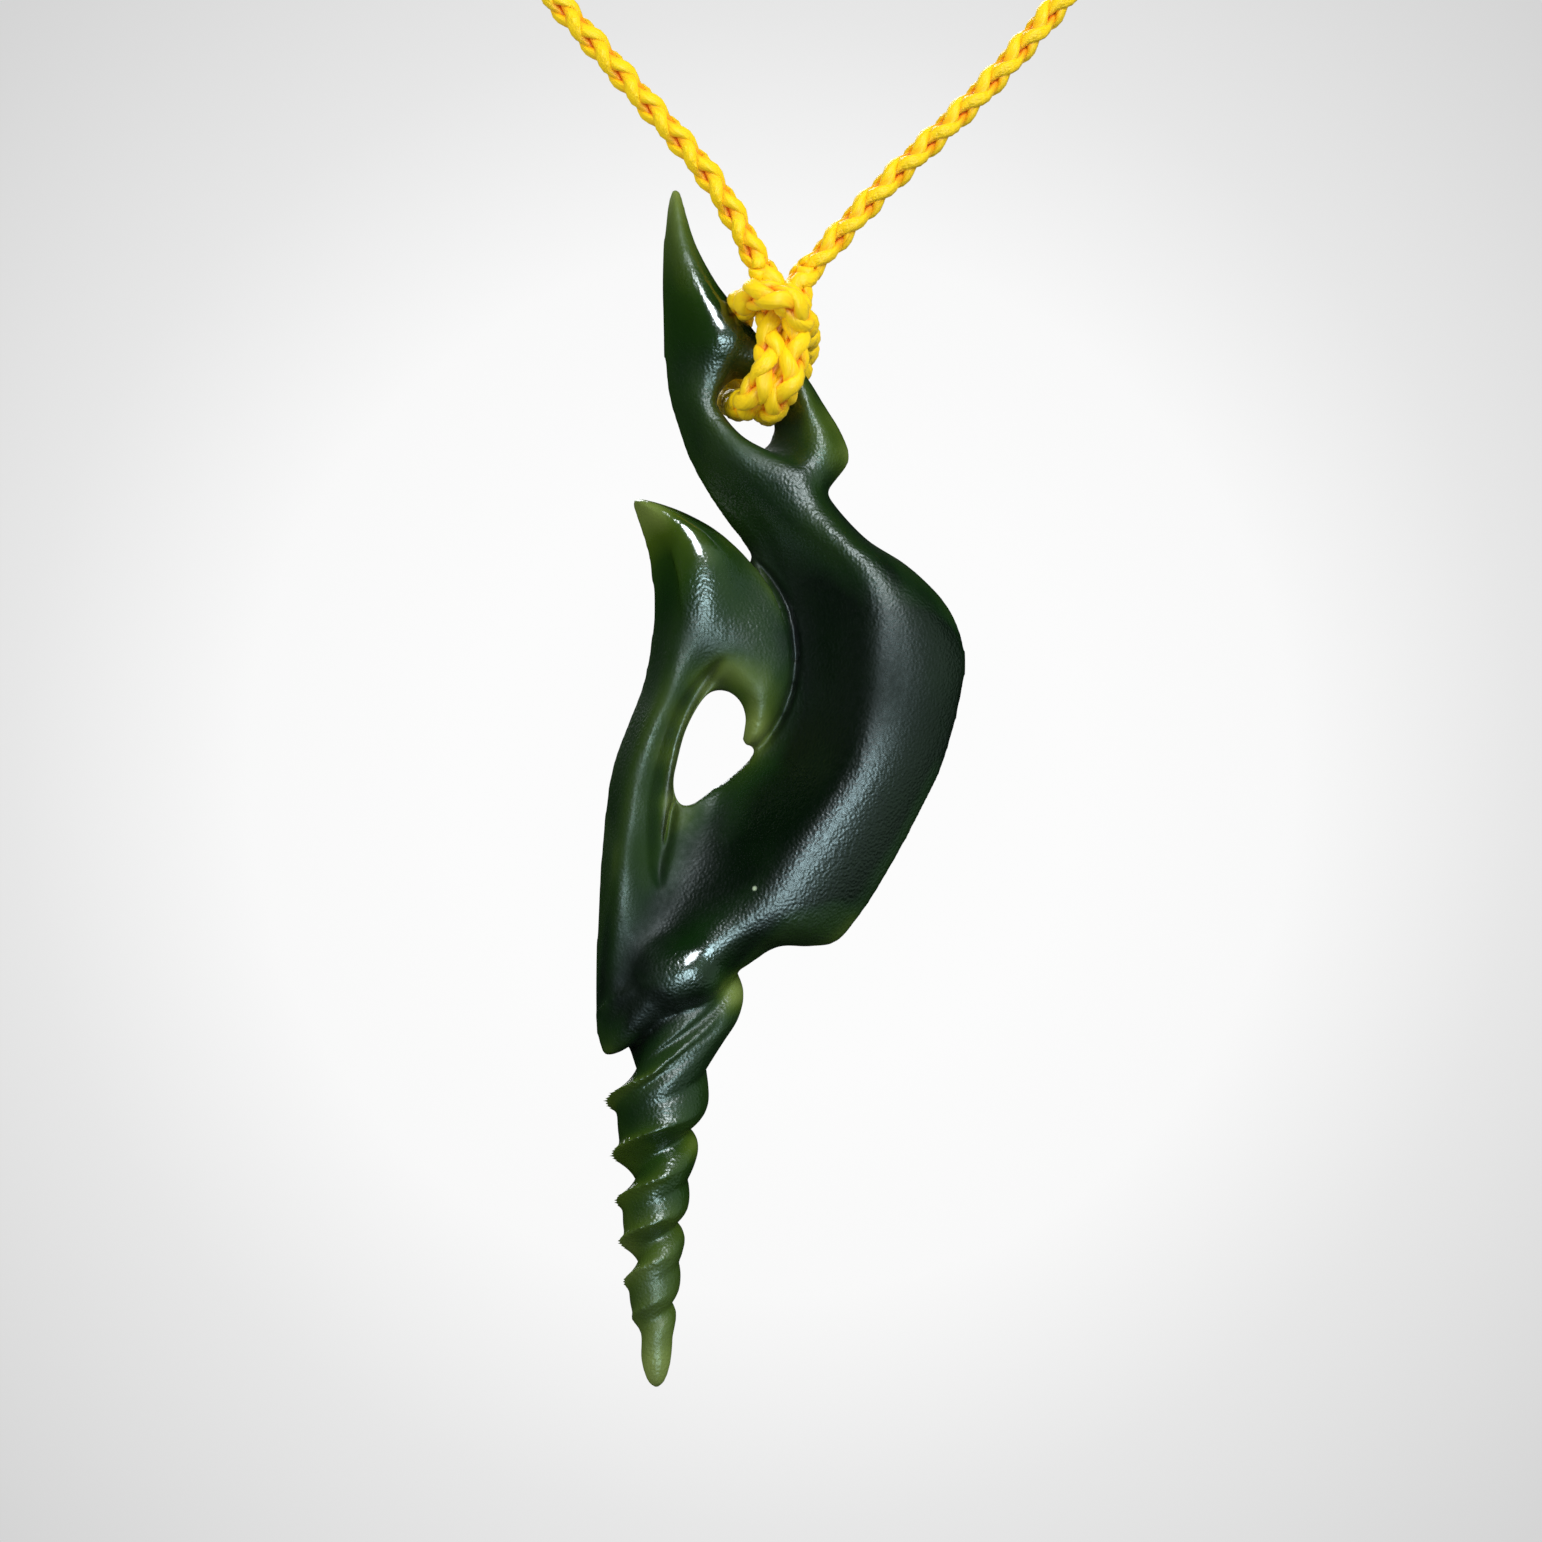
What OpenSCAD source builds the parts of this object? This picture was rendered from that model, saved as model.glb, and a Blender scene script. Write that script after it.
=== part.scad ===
// Hook pendant cut from green stone, with a twisted tail, on a plaited neck cord.
// Millimetres, +Z up. The origin is where the loop rests on the nape of the neck.
// The front of the carving faces -Y, and +X is on the right when it is seen from the front.

/* [Carving] */
// Height of the carving, from the tip of the fin to the tip of the tail
carving_h = 80; // [60:1:100]
// Width of the carving, from the shank to the back of the crescent
carving_w = 24.8; // [20:0.1:30]
// Thickness of the slab that the carving is cut from
carving_t = 9.6; // [7:0.1:12]
// Radius of the rounded points and corners
tip_r = 0.3; // [0.2:0.05:0.5]

/* [Tail] */
// Widest diameter of the twisted tail
tail_d = 9.8; // [8:0.1:11]
// Depth of the deep groove, as a share of the radius
deep_cut = 0.44; // [0.3:0.01:0.5]
// Depth of the shallow groove, as a share of the radius
shallow_cut = 0.17; // [0.1:0.01:0.25]

/* [Cord] */
// Diameter of the plaited cord
cord_d = 1.8; // [1.4:0.1:2.2]
// Space between the hitch and the stone
hitch_gap = 0.15; // [0.1:0.01:0.3]
// Space between an end of the neck cord and the hitch
end_gap = 0.15; // [0.1:0.01:0.3]

/* [Nape knot] */
// Length of the closing knot behind the neck
knot_l = 9; // [7:0.5:12]
// Widest diameter of the closing knot
knot_d = 5.6; // [4.6:0.1:7]
// Space round the cord where it runs through the closing knot
knot_gap = 0.12; // [0.1:0.01:0.3]

/* [Hidden] */
stone_colour = "#1d3320";
cord_colour = "#f2c512";

// Middle of the eye band where the hitch holds it: its place, and its shares of the carving's size
hang = [-2.3, -112, -134];
hang_share_x = 0.488;
hang_share_z = 0.852;
function stone_x(share) = hang[0] + (share - hang_share_x) * carving_w;
function stone_z(share) = hang[2] + (share - hang_share_z) * carving_h;
function stone_y(ahead) = hang[1] - ahead * carving_t;

// Each limb of the carving is lofted through chords that run from its left or inner edge to its
// right or outer edge. Columns: the chord's ends as shares of carving_w from the left and of
// carving_h from the bottom; crest, the share of the chord where the front stands highest; front
// and back, the depths of crest and belly off the middle of the slab; rim_l and rim_r, how far
// ahead of the middle the two edges lie (all shares of carving_t); bend_l and bend_r, the front
// flanks from -1 hollow to 1 round.
X_L = 0;
Z_L = 1;
X_R = 2;
Z_R = 3;
CREST = 4;
FRONT = 5;
BACK = 6;
RIM_L = 7;
RIM_R = 8;
BEND_L = 9;
BEND_R = 10;

// Fin, left side of the eye, neck, crescent and the foot over the tail, from the top down
spine = [
    [0.216, 0.999, 0.221, 0.999, 0.50, 0.04, 0.04, 0.00, 0.00, 0.5, 0.5],
    [0.196, 0.984, 0.241, 0.989, 0.52, 0.09, 0.08, 0.00, 0.00, 0.5, 0.5],
    [0.183, 0.954, 0.275, 0.956, 0.55, 0.15, 0.13, 0.00, 0.00, 0.4, 0.4],
    [0.178, 0.921, 0.335, 0.922, 0.57, 0.22, 0.18, 0.00, 0.00, 0.2, 0.4],
    [0.181, 0.888, 0.412, 0.892, 0.56, 0.29, 0.23, 0.00, 0.00, 0.1, 0.5],
    [0.184, 0.864, 0.440, 0.876, 0.58, 0.31, 0.25, 0.00, 0.00, 0.1, 0.6],
    [0.190, 0.846, 0.390, 0.851, 0.66, 0.27, 0.25, 0.00, -0.08, 0.2, 0.6],
    [0.200, 0.827, 0.330, 0.827, 0.80, 0.28, 0.26, 0.00, 0.00, 0.3, 0.8],
    [0.218, 0.808, 0.352, 0.812, 0.84, 0.29, 0.27, 0.00, 0.04, 0.4, 0.8],
    [0.243, 0.783, 0.402, 0.795, 0.84, 0.30, 0.28, -0.02, 0.06, 0.5, 0.8],
    [0.278, 0.760, 0.475, 0.783, 0.82, 0.32, 0.29, -0.06, 0.04, 0.7, 0.8],
    [0.318, 0.739, 0.578, 0.768, 0.80, 0.35, 0.31, -0.10, 0.00, 0.8, 0.7],
    [0.361, 0.721, 0.650, 0.738, 0.77, 0.38, 0.33, -0.12, 0.00, 0.7, 0.5],
    [0.407, 0.701, 0.738, 0.709, 0.75, 0.41, 0.36, -0.14, 0.00, 0.3, 0.4],
    [0.442, 0.679, 0.852, 0.686, 0.70, 0.44, 0.39, -0.12, 0.00, -0.1, 0.3],
    [0.461, 0.649, 0.958, 0.652, 0.64, 0.47, 0.42, -0.12, 0.00, -0.3, 0.3],
    [0.469, 0.616, 1.000, 0.615, 0.61, 0.49, 0.44, -0.12, 0.00, -0.4, 0.3],
    [0.458, 0.578, 0.990, 0.578, 0.64, 0.50, 0.46, -0.12, 0.00, -0.4, 0.3],
    [0.424, 0.534, 0.941, 0.522, 0.66, 0.50, 0.46, -0.11, 0.00, -0.4, 0.3],
    [0.366, 0.514, 0.873, 0.478, 0.66, 0.50, 0.46, -0.10, 0.00, -0.3, 0.3],
    [0.258, 0.489, 0.776, 0.422, 0.64, 0.50, 0.45, -0.06, 0.00, -0.3, 0.3],
    [0.190, 0.462, 0.668, 0.376, 0.61, 0.48, 0.44, -0.02, 0.00, -0.2, 0.4],
    [0.124, 0.431, 0.588, 0.369, 0.59, 0.46, 0.42, 0.00, 0.02, 0.0, 0.4],
    [0.075, 0.397, 0.496, 0.369, 0.58, 0.45, 0.40, 0.00, 0.06, 0.1, 0.5],
    [0.036, 0.366, 0.407, 0.352, 0.56, 0.43, 0.38, 0.00, 0.12, 0.2, 0.6],
    [0.013, 0.336, 0.297, 0.331, 0.52, 0.38, 0.34, 0.00, 0.16, 0.3, 0.7],
    [0.008, 0.311, 0.200, 0.309, 0.50, 0.30, 0.28, 0.00, 0.14, 0.4, 0.7],
    [0.010, 0.291, 0.124, 0.292, 0.50, 0.22, 0.20, 0.00, 0.08, 0.5, 0.7],
    [0.024, 0.277, 0.075, 0.282, 0.50, 0.12, 0.12, 0.00, 0.02, 0.5, 0.7]
];

// Head and shank of the hook, from its point down to the foot
shank = [
    [0.100, 0.743, 0.108, 0.744, 0.50, 0.06, 0.02, 0.02, 0.02, 0.5, 0.5],
    [0.105, 0.734, 0.172, 0.740, 0.55, 0.17, 0.06, 0.02, 0.02, 0.5, 0.5],
    [0.119, 0.720, 0.258, 0.730, 0.58, 0.28, 0.12, 0.02, 0.02, 0.4, 0.4],
    [0.137, 0.701, 0.345, 0.714, 0.57, 0.37, 0.18, 0.02, 0.04, 0.3, 0.4],
    [0.152, 0.674, 0.425, 0.688, 0.53, 0.43, 0.22, 0.00, 0.06, 0.2, 0.4],
    [0.156, 0.648, 0.452, 0.650, 0.44, 0.45, 0.24, 0.00, 0.06, 0.2, 0.4],
    [0.146, 0.616, 0.346, 0.608, 0.52, 0.43, 0.25, 0.00, -0.10, 0.3, -0.2],
    [0.127, 0.587, 0.291, 0.578, 0.56, 0.41, 0.25, 0.00, -0.12, 0.3, -0.2],
    [0.089, 0.556, 0.245, 0.549, 0.58, 0.39, 0.25, 0.00, -0.10, 0.3, 0.0],
    [0.048, 0.521, 0.216, 0.511, 0.58, 0.38, 0.26, 0.00, -0.08, 0.3, 0.0],
    [0.027, 0.481, 0.228, 0.481, 0.56, 0.38, 0.28, 0.00, -0.04, 0.3, 0.0],
    [0.014, 0.432, 0.200, 0.420, 0.54, 0.38, 0.30, 0.00, 0.04, 0.3, 0.0],
    [0.005, 0.378, 0.210, 0.386, 0.52, 0.36, 0.30, 0.00, 0.10, 0.3, 0.2],
    [0.001, 0.332, 0.200, 0.345, 0.50, 0.30, 0.26, 0.00, 0.10, 0.3, 0.3],
    [0.004, 0.294, 0.150, 0.299, 0.50, 0.20, 0.18, 0.00, 0.04, 0.4, 0.4]
];

// Barb of the hook, from the head round to its point
barb = [
    [0.210, 0.652, 0.300, 0.712, 0.50, 0.30, 0.20, 0.10, 0.06, 0.4, 0.4],
    [0.225, 0.630, 0.385, 0.702, 0.50, 0.39, 0.22, 0.00, 0.04, 0.4, 0.4],
    [0.259, 0.612, 0.453, 0.682, 0.50, 0.43, 0.24, -0.08, 0.00, 0.2, 0.7],
    [0.300, 0.592, 0.502, 0.655, 0.52, 0.41, 0.25, -0.14, -0.04, 0.0, 0.8],
    [0.345, 0.583, 0.526, 0.626, 0.55, 0.37, 0.25, -0.14, -0.05, 0.0, 0.8],
    [0.386, 0.577, 0.529, 0.598, 0.57, 0.33, 0.24, -0.10, -0.05, 0.1, 0.8],
    [0.404, 0.567, 0.503, 0.570, 0.56, 0.28, 0.22, -0.06, -0.04, 0.3, 0.8],
    [0.404, 0.553, 0.462, 0.547, 0.54, 0.22, 0.18, -0.02, -0.03, 0.4, 0.8],
    [0.399, 0.542, 0.426, 0.536, 0.52, 0.15, 0.12, 0.00, -0.02, 0.5, 0.6],
    [0.402, 0.538, 0.410, 0.537, 0.50, 0.08, 0.06, 0.00, 0.00, 0.5, 0.5]
];

// Band over the suspension eye, from the fin's shoulder round to the neck
band = [
    [0.300, 0.850, 0.370, 0.892, 0.50, 0.20, 0.18, -0.02, 0.00, 0.6, 0.6],
    [0.385, 0.843, 0.465, 0.876, 0.50, 0.23, 0.21, -0.04, 0.00, 0.6, 0.6],
    [0.447, 0.840, 0.525, 0.862, 0.50, 0.24, 0.22, -0.04, 0.00, 0.6, 0.6],
    [0.480, 0.829, 0.572, 0.846, 0.56, 0.25, 0.22, -0.08, 0.00, 0.5, 0.6],
    [0.487, 0.815, 0.624, 0.821, 0.60, 0.26, 0.23, -0.14, 0.00, 0.3, 0.6],
    [0.480, 0.801, 0.671, 0.797, 0.62, 0.28, 0.25, -0.18, 0.00, 0.3, 0.6],
    [0.458, 0.790, 0.689, 0.776, 0.64, 0.30, 0.27, -0.16, 0.00, 0.4, 0.6],
    [0.430, 0.778, 0.648, 0.757, 0.66, 0.31, 0.28, -0.10, 0.00, 0.5, 0.6],
    [0.400, 0.762, 0.610, 0.742, 0.66, 0.30, 0.28, -0.06, 0.00, 0.5, 0.6]
];
// Row of the band that the hitch goes round
held_row = 2;

// Rounded points and corners, each a taper between two balls. Columns: place across, up and
// ahead (shares as above), then the ball's radius in tip radii, for the point and for its root.
corners = [
    [0.218, 0.996, 0.00, 0.8, 0.218, 0.982, 0.00, 1.5],
    [0.112, 0.739, 0.02, 0.9, 0.135, 0.728, 0.04, 1.6],
    [0.409, 0.5415, 0.03, 0.9, 0.424, 0.552, 0.06, 1.6],
    [0.166, 0.004, 0.00, 1.0, 0.166, 0.018, 0.00, 2.0],
    [0.026, 0.290, 0.00, 1.3, 0.060, 0.305, 0.00, 2.6],
    [0.645, 0.383, 0.00, 1.6, 0.620, 0.400, 0.00, 2.6],
    [0.672, 0.776, 0.00, 1.6, 0.640, 0.780, 0.00, 3.0],
    [0.422, 0.878, 0.00, 1.4, 0.390, 0.880, 0.00, 3.0]
];

// Twisted tail, from inside the foot down to its tip. Columns: height as a share of carving_h,
// axis as a share of carving_w, radius as a share of tail_d / 2, depth of the section as a share
// of its width, turns of the twist, and how much of the groove depths is cut.
T_Z = 0;
T_X = 1;
T_R = 2;
T_DEPTH = 3;
T_TURN = 4;
T_CUT = 5;
tail = [
    [0.360, 0.232, 0.78, 0.50, -0.60, 0.0],
    [0.336, 0.214, 0.99, 0.48, -0.42, 0.4],
    [0.311, 0.200, 0.96, 0.50, -0.25, 0.7],
    [0.290, 0.189, 0.84, 0.58, -0.11, 1.0],
    [0.267, 0.175, 0.73, 0.74, 0.00, 1.0],
    [0.239, 0.167, 0.71, 0.92, 0.26, 1.0],
    [0.217, 0.165, 0.65, 1.00, 0.50, 1.0],
    [0.175, 0.156, 0.55, 1.00, 1.00, 1.0],
    [0.139, 0.153, 0.49, 1.00, 1.50, 1.0],
    [0.106, 0.153, 0.43, 1.00, 2.00, 1.0],
    [0.072, 0.155, 0.36, 1.00, 2.50, 0.8],
    [0.043, 0.164, 0.25, 1.00, 3.00, 0.4],
    [0.020, 0.166, 0.19, 1.00, 3.30, 0.0],
    [0.006, 0.166, 0.11, 1.00, 3.50, 0.0],
    [0.001, 0.166, 0.02, 1.00, 3.60, 0.0]
];

// Cow hitch, as one run of cord from the left strand to the right one, about the middle of the
// band at the held row. Columns: sideways in cord diameters; up in half widths of the band and in
// cord diameters; ahead in half depths of the band and in cord diameters.
H_X = 0;
H_ZB = 1;
H_ZD = 2;
H_YB = 3;
H_YD = 4;
hitch = [
    [-0.26, 1.0, 2.40, 0.0, 0.45],
    [-0.20, 1.0, 1.80, 0.2, 0.50],
    [-0.22, 1.0, 0.90, 0.7, 0.50],
    [-0.34, 0.0, 0.00, 1.0, 0.60],
    [-0.62, -1.0, -0.45, 0.8, 0.50],
    [-0.86, -1.0, -0.85, 0.0, 0.20],
    [-0.84, -1.0, -0.45, -0.8, -0.50],
    [-0.74, 0.0, 0.00, -1.0, -0.60],
    [-0.86, 1.0, 0.80, -0.7, -0.45],
    [-1.04, 1.0, 1.60, 0.0, -0.05],
    [-1.00, 1.0, 1.95, 0.4, 0.80],
    [-0.40, 1.0, 1.95, 0.6, 1.50],
    [0.40, 1.0, 1.70, 0.6, 1.50],
    [1.00, 1.0, 1.05, 0.6, 1.00],
    [1.22, 1.0, 0.45, 0.2, 0.30],
    [1.20, 0.6, 0.20, -0.7, -0.40],
    [0.92, 0.0, 0.00, -1.0, -0.60],
    [0.42, -1.0, -0.45, -0.8, -0.50],
    [0.20, -1.0, -0.85, 0.0, 0.20],
    [0.44, -1.0, -0.45, 0.8, 0.50],
    [0.72, 0.0, 0.00, 1.0, 0.60],
    [0.80, 1.0, 0.90, 0.7, 0.50],
    [0.78, 1.0, 1.80, 0.2, 0.50],
    [0.84, 1.0, 2.40, 0.0, 0.45]
];

// Neck loop, from the hitch up the right strand to the nape, and down the left one. The first and
// last points are the hitch's own ends, and the two points beside the nape keep the cord straight
// through its closing knot.
right_strand = [
    [5, -112.6, -121.8],
    [12.3, -112.2, -114.6],
    [20, -111, -105.5],
    [30, -107.5, -93.5],
    [40, -100.5, -80.5],
    [49, -90, -67.5],
    [56, -76, -55],
    [60, -60, -43.5],
    [60.5, -43, -33],
    [56, -27, -23.5],
    [46, -13.5, -14],
    [32, -4.5, -6.5],
    [18, -1, -1.8]
];
left_strand = [
    [-18, -1, -1.8],
    [-32, -4.5, -6.5],
    [-46, -13.5, -14],
    [-56, -27, -23.5],
    [-60.5, -43, -33],
    [-60, -60, -43.5],
    [-56, -76, -55],
    [-49, -90, -67.5],
    [-40, -100.5, -81],
    [-29.5, -107.5, -95],
    [-19, -111, -107],
    [-12, -112.2, -115],
    [-6.5, -112.6, -121.5]
];
loop_normal = [0, 0.75, -0.66];

// Fullness of the back, from 1 round towards 0 square
belly_power = 0.8;

// Fineness of the meshes
limb_steps = 2;
flank_points = 4;
back_points = 4;
tail_sides = 16;
tail_steps = 4;
cord_sides = 8;
cord_steps = 2;
bead_facets = 10;
hitch_steps = 2;

function unit(v) = v / norm(v);
function lerp(a, b, t) = a + (b - a) * t;

// Point of the smooth curve through table rows, at share t between rows b and c
function blend_row(a, b, c, d, t) =
    0.5 * (2 * b + (c - a) * t + (2 * a - 5 * b + 4 * c - d) * t * t
        + (3 * b - a - 3 * c + d) * t * t * t);

// A table with steps rows for each of its own, on a smooth curve through them all
function smooth_rows(table, steps) = let (last = len(table) - 1) [
    for (i = [0 : last - 1], k = [0 : steps - 1])
        blend_row(table[max(i - 1, 0)], table[i], table[i + 1], table[min(i + 2, last)], k / steps),
    table[last]
];

// Rise of a front flank at share t from its edge, hollow, straight or round
function flank(t, bend) =
    lerp(t, bend > 0 ? sin(90 * t) : 1 - cos(90 * t), abs(bend));

// Point of a limb at share s of the chord, so far ahead of the middle of the slab
function chord_point(row, s, ahead) = [
    stone_x(lerp(row[X_L], row[X_R], s)),
    stone_y(ahead),
    stone_z(lerp(row[Z_L], row[Z_R], s))
];

// Closed section of a limb: left edge, front to the crest, right edge, and back round the belly
function limb_ring(row) = [
    for (k = [0 : flank_points - 1]) let (t = k / flank_points)
        chord_point(row, row[CREST] * t,
            lerp(row[RIM_L], row[FRONT], flank(t, row[BEND_L]))),
    for (k = [0 : flank_points - 1]) let (t = 1 - k / flank_points)
        chord_point(row, 1 - (1 - row[CREST]) * t,
            lerp(row[RIM_R], row[FRONT], flank(t, row[BEND_R]))),
    for (k = [0 : back_points - 1]) let (s = 1 - k / back_points, belly = pow(sin(180 * s), belly_power))
        chord_point(row, s, lerp(lerp(row[RIM_L], row[RIM_R], s), -row[BACK], belly))
];

// Closed skin through rings of equal length, with a fan of faces over each end
module skin(rings) {
    n = len(rings[0]);
    last = len(rings) - 1;
    points = [for (ring = rings) each ring, middle(rings[0]), middle(rings[last])];
    first_cap = n * len(rings);
    faces = [
        for (i = [0 : last - 1], k = [0 : n - 1]) let (
            a = i * n + k,
            b = i * n + (k + 1) % n,
            c = b + n,
            d = a + n
        ) each [[a, b, c], [a, c, d]],
        for (k = [0 : n - 1]) [(k + 1) % n, k, first_cap],
        for (k = [0 : n - 1]) [last * n + k, last * n + (k + 1) % n, first_cap + 1]
    ];
    polyhedron(points, faces);
}
function middle(ring) = [for (p = ring) 1] * ring / len(ring);

module limb(table) {
    skin([for (row = smooth_rows(table, limb_steps)) limb_ring(row)]);
}

// Share of the radius left by the grooves. Phase counts turns from the deep groove. On the right
// the ridges are round lobes, and on the left they are sharp teeth between scoops.
function twist_radius(phase, angle, cut) = let (
    climb = 1 - abs(4 * (phase * 2 - floor(phase * 2)) / 2 - 1),
    lobe = sqrt(1 - pow(1 - climb, 2)),
    tooth = 1 - sqrt(1 - pow(climb, 2)),
    ridge = lerp(tooth, lobe, (1 + cos(angle)) / 2),
    depth = lerp(shallow_cut, deep_cut, (1 + cos(360 * phase)) / 2)
) 1 - cut * depth * (1 - ridge);

// A ring turns with the twist, so that each of its points keeps to one ridge, flank or groove
function tail_ring(row) = [
    for (k = [0 : tail_sides - 1]) let (
        phase = k / tail_sides,
        angle = 360 * (phase - row[T_TURN] + 0.5),
        r = tail_d / 2 * row[T_R] * twist_radius(phase, angle, row[T_CUT])
    ) [
        stone_x(row[T_X]) + r * cos(angle),
        stone_y(0) + r * sin(angle) * row[T_DEPTH],
        stone_z(row[T_Z])
    ]
];

module twisted_tail() {
    skin([for (row = smooth_rows(tail, tail_steps)) tail_ring(row)]);
}

module corner_ball(x, z, ahead, radii) {
    translate([stone_x(x), stone_y(ahead), stone_z(z)])
        sphere(r = radii * tip_r, $fn = bead_facets);
}

module carving() {
    color(stone_colour) union() {
        limb(spine);
        limb(shank);
        limb(barb);
        limb(band);
        twisted_tail();
        for (c = corners) hull() {
            corner_ball(c[0], c[1], c[2], c[3]);
            corner_ball(c[4], c[5], c[6], c[7]);
        }
    }
}

// Half width and half depth of the band where the hitch goes round it, with the working space
held = band[held_row];
band_half_w = norm([(held[X_R] - held[X_L]) * carving_w, (held[Z_R] - held[Z_L]) * carving_h]) / 2;
band_half_t = held[FRONT] * carving_t;

function hitch_point(row) = [
    hang[0] + row[H_X] * cord_d,
    hang[1] - row[H_YB] * (band_half_t + hitch_gap) - row[H_YD] * cord_d,
    hang[2] + row[H_ZB] * (band_half_w + hitch_gap) + row[H_ZD] * cord_d
];
hitch_path = smooth_rows([for (row = hitch) hitch_point(row)], hitch_steps);

// The hitch's ends are turned up the strands, so the neck cord starts just above them
left_end = hitch_point(hitch[0]);
right_end = hitch_point(hitch[len(hitch) - 1]);

module hitch_knot() {
    color(cord_colour) for (i = [0 : len(hitch_path) - 2]) hull() {
        translate(hitch_path[i]) sphere(d = cord_d, $fn = bead_facets);
        translate(hitch_path[i + 1]) sphere(d = cord_d, $fn = bead_facets);
    }
}

// Round section of the cord at a point of its route, square to the run between its neighbours
function cord_ring(path, i) = let (
    ahead = unit(path[min(i + 1, len(path) - 1)] - path[max(i - 1, 0)]),
    side = unit(cross(ahead, loop_normal)),
    up = cross(side, ahead)
) [
    for (k = [0 : cord_sides - 1]) let (a = 360 * k / cord_sides)
        path[i] + cord_d / 2 * (cos(a) * side + sin(a) * up)
];

strand_start = cord_d / 2 + end_gap;
nape_straight = knot_l / 2 + cord_d;
neck_route = [
    right_end + strand_start * unit(right_strand[0] - right_end),
    each right_strand,
    [nape_straight, 0, 0],
    [-nape_straight, 0, 0],
    each left_strand,
    left_end + strand_start * unit(left_strand[len(left_strand) - 1] - left_end)
];

module neck_cord() {
    path = smooth_rows(neck_route, cord_steps);
    color(cord_colour) skin([for (i = [0 : len(path) - 1]) cord_ring(path, i)]);
}

// Barrel knot behind the neck, with a straight way through it for the cord
module nape_knot() {
    bore_r = cord_d / 2 + knot_gap;
    lip_r = bore_r + cord_d / 2;
    color(cord_colour) rotate([0, 90, 0]) rotate_extrude($fn = 48) difference() {
        hull() {
            translate([bore_r, -knot_l / 2]) square([lip_r - bore_r, knot_l]);
            translate([bore_r, -knot_l / 4]) square([knot_d / 2 - bore_r, knot_l / 2]);
        }
        translate([-knot_d, -knot_l]) square([knot_d + bore_r, 2 * knot_l]);
    }
}

carving();
neck_cord();
hitch_knot();
nape_knot();
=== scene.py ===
"""Looks of a fish-hook pendant: green stone with a twisted tail, on a plaited yellow neck cord."""

import logging
import math
from dataclasses import dataclass, field
from enum import Enum

import bmesh
import bpy
import numpy as np
from mathutils import Matrix, Vector
from mathutils.bvhtree import BVHTree


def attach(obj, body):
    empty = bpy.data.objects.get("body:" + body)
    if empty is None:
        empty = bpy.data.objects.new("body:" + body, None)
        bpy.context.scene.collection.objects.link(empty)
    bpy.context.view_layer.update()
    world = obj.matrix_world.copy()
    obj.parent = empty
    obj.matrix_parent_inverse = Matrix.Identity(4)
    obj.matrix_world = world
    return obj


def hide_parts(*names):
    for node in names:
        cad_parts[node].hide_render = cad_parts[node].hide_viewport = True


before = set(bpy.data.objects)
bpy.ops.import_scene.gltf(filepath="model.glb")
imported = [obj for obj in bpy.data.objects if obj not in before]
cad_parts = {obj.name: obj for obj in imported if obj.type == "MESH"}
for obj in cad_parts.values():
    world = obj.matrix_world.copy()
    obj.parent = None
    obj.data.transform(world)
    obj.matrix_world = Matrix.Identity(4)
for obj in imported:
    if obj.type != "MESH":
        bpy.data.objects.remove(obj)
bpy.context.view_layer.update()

LOG = logging.getLogger("pendant")
MM = 0.001
Row = tuple[float, ...]
Spot = tuple[float, float, float]
Colour = tuple[float, float, float]
Value = float | np.ndarray


class Hand(Enum):
    """The way round that a yarn runs in the plait."""

    CLOCKWISE = 1
    ANTICLOCKWISE = -1


def thousandths(*rows: Row) -> np.ndarray:
    """Turns a table that is written in thousandths into plain numbers."""
    return np.array(rows, float) / 1000


def mixed(a: Value, b: Value, share: Value) -> Value:
    """Value at a share of the way from a to b."""
    return a + (b - a) * share


def unit(vectors: np.ndarray) -> np.ndarray:
    """The same ways, each one long."""
    return vectors / np.linalg.norm(vectors, axis=-1, keepdims=True)


def run_of(points: np.ndarray) -> np.ndarray:
    """How far along a line each of its points lies."""
    return np.concatenate([[0.0], np.cumsum(np.linalg.norm(np.diff(points, axis=0), axis=1))])


def places_of(work: bmesh.types.BMesh) -> np.ndarray:
    """Where the vertices of a mesh lie."""
    return np.array([v.co for v in work.verts])


def verts_in(geometry: list[object]) -> list[bmesh.types.BMVert]:
    """The vertices among what an operator made."""
    return [part for part in geometry if isinstance(part, bmesh.types.BMVert)]


def blend_row(a: np.ndarray, b: np.ndarray, c: np.ndarray, d: np.ndarray, t: float) -> np.ndarray:
    """Point of the smooth curve through four rows, at share t between the middle two."""
    return 0.5 * (
        2 * b + (c - a) * t + (2 * a - 5 * b + 4 * c - d) * t * t + (3 * b - a - 3 * c + d) * t**3
    )


def smooth_rows(table: np.ndarray | list[Row], steps: int) -> np.ndarray:
    """Puts more rows on the smooth curve through a table's own.

    Args:
        table: Rows of equal length.
        steps: Rows that come out for each row that goes in.

    Returns:
        The rows as an array, the last one included.
    """
    rows = np.array(table, float)
    last = len(rows) - 1
    made = [
        blend_row(rows[max(i - 1, 0)], rows[i], rows[i + 1], rows[min(i + 2, last)], k / steps)
        for i in range(last)
        for k in range(steps)
    ]
    return np.array([*made, rows[last]])


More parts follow.
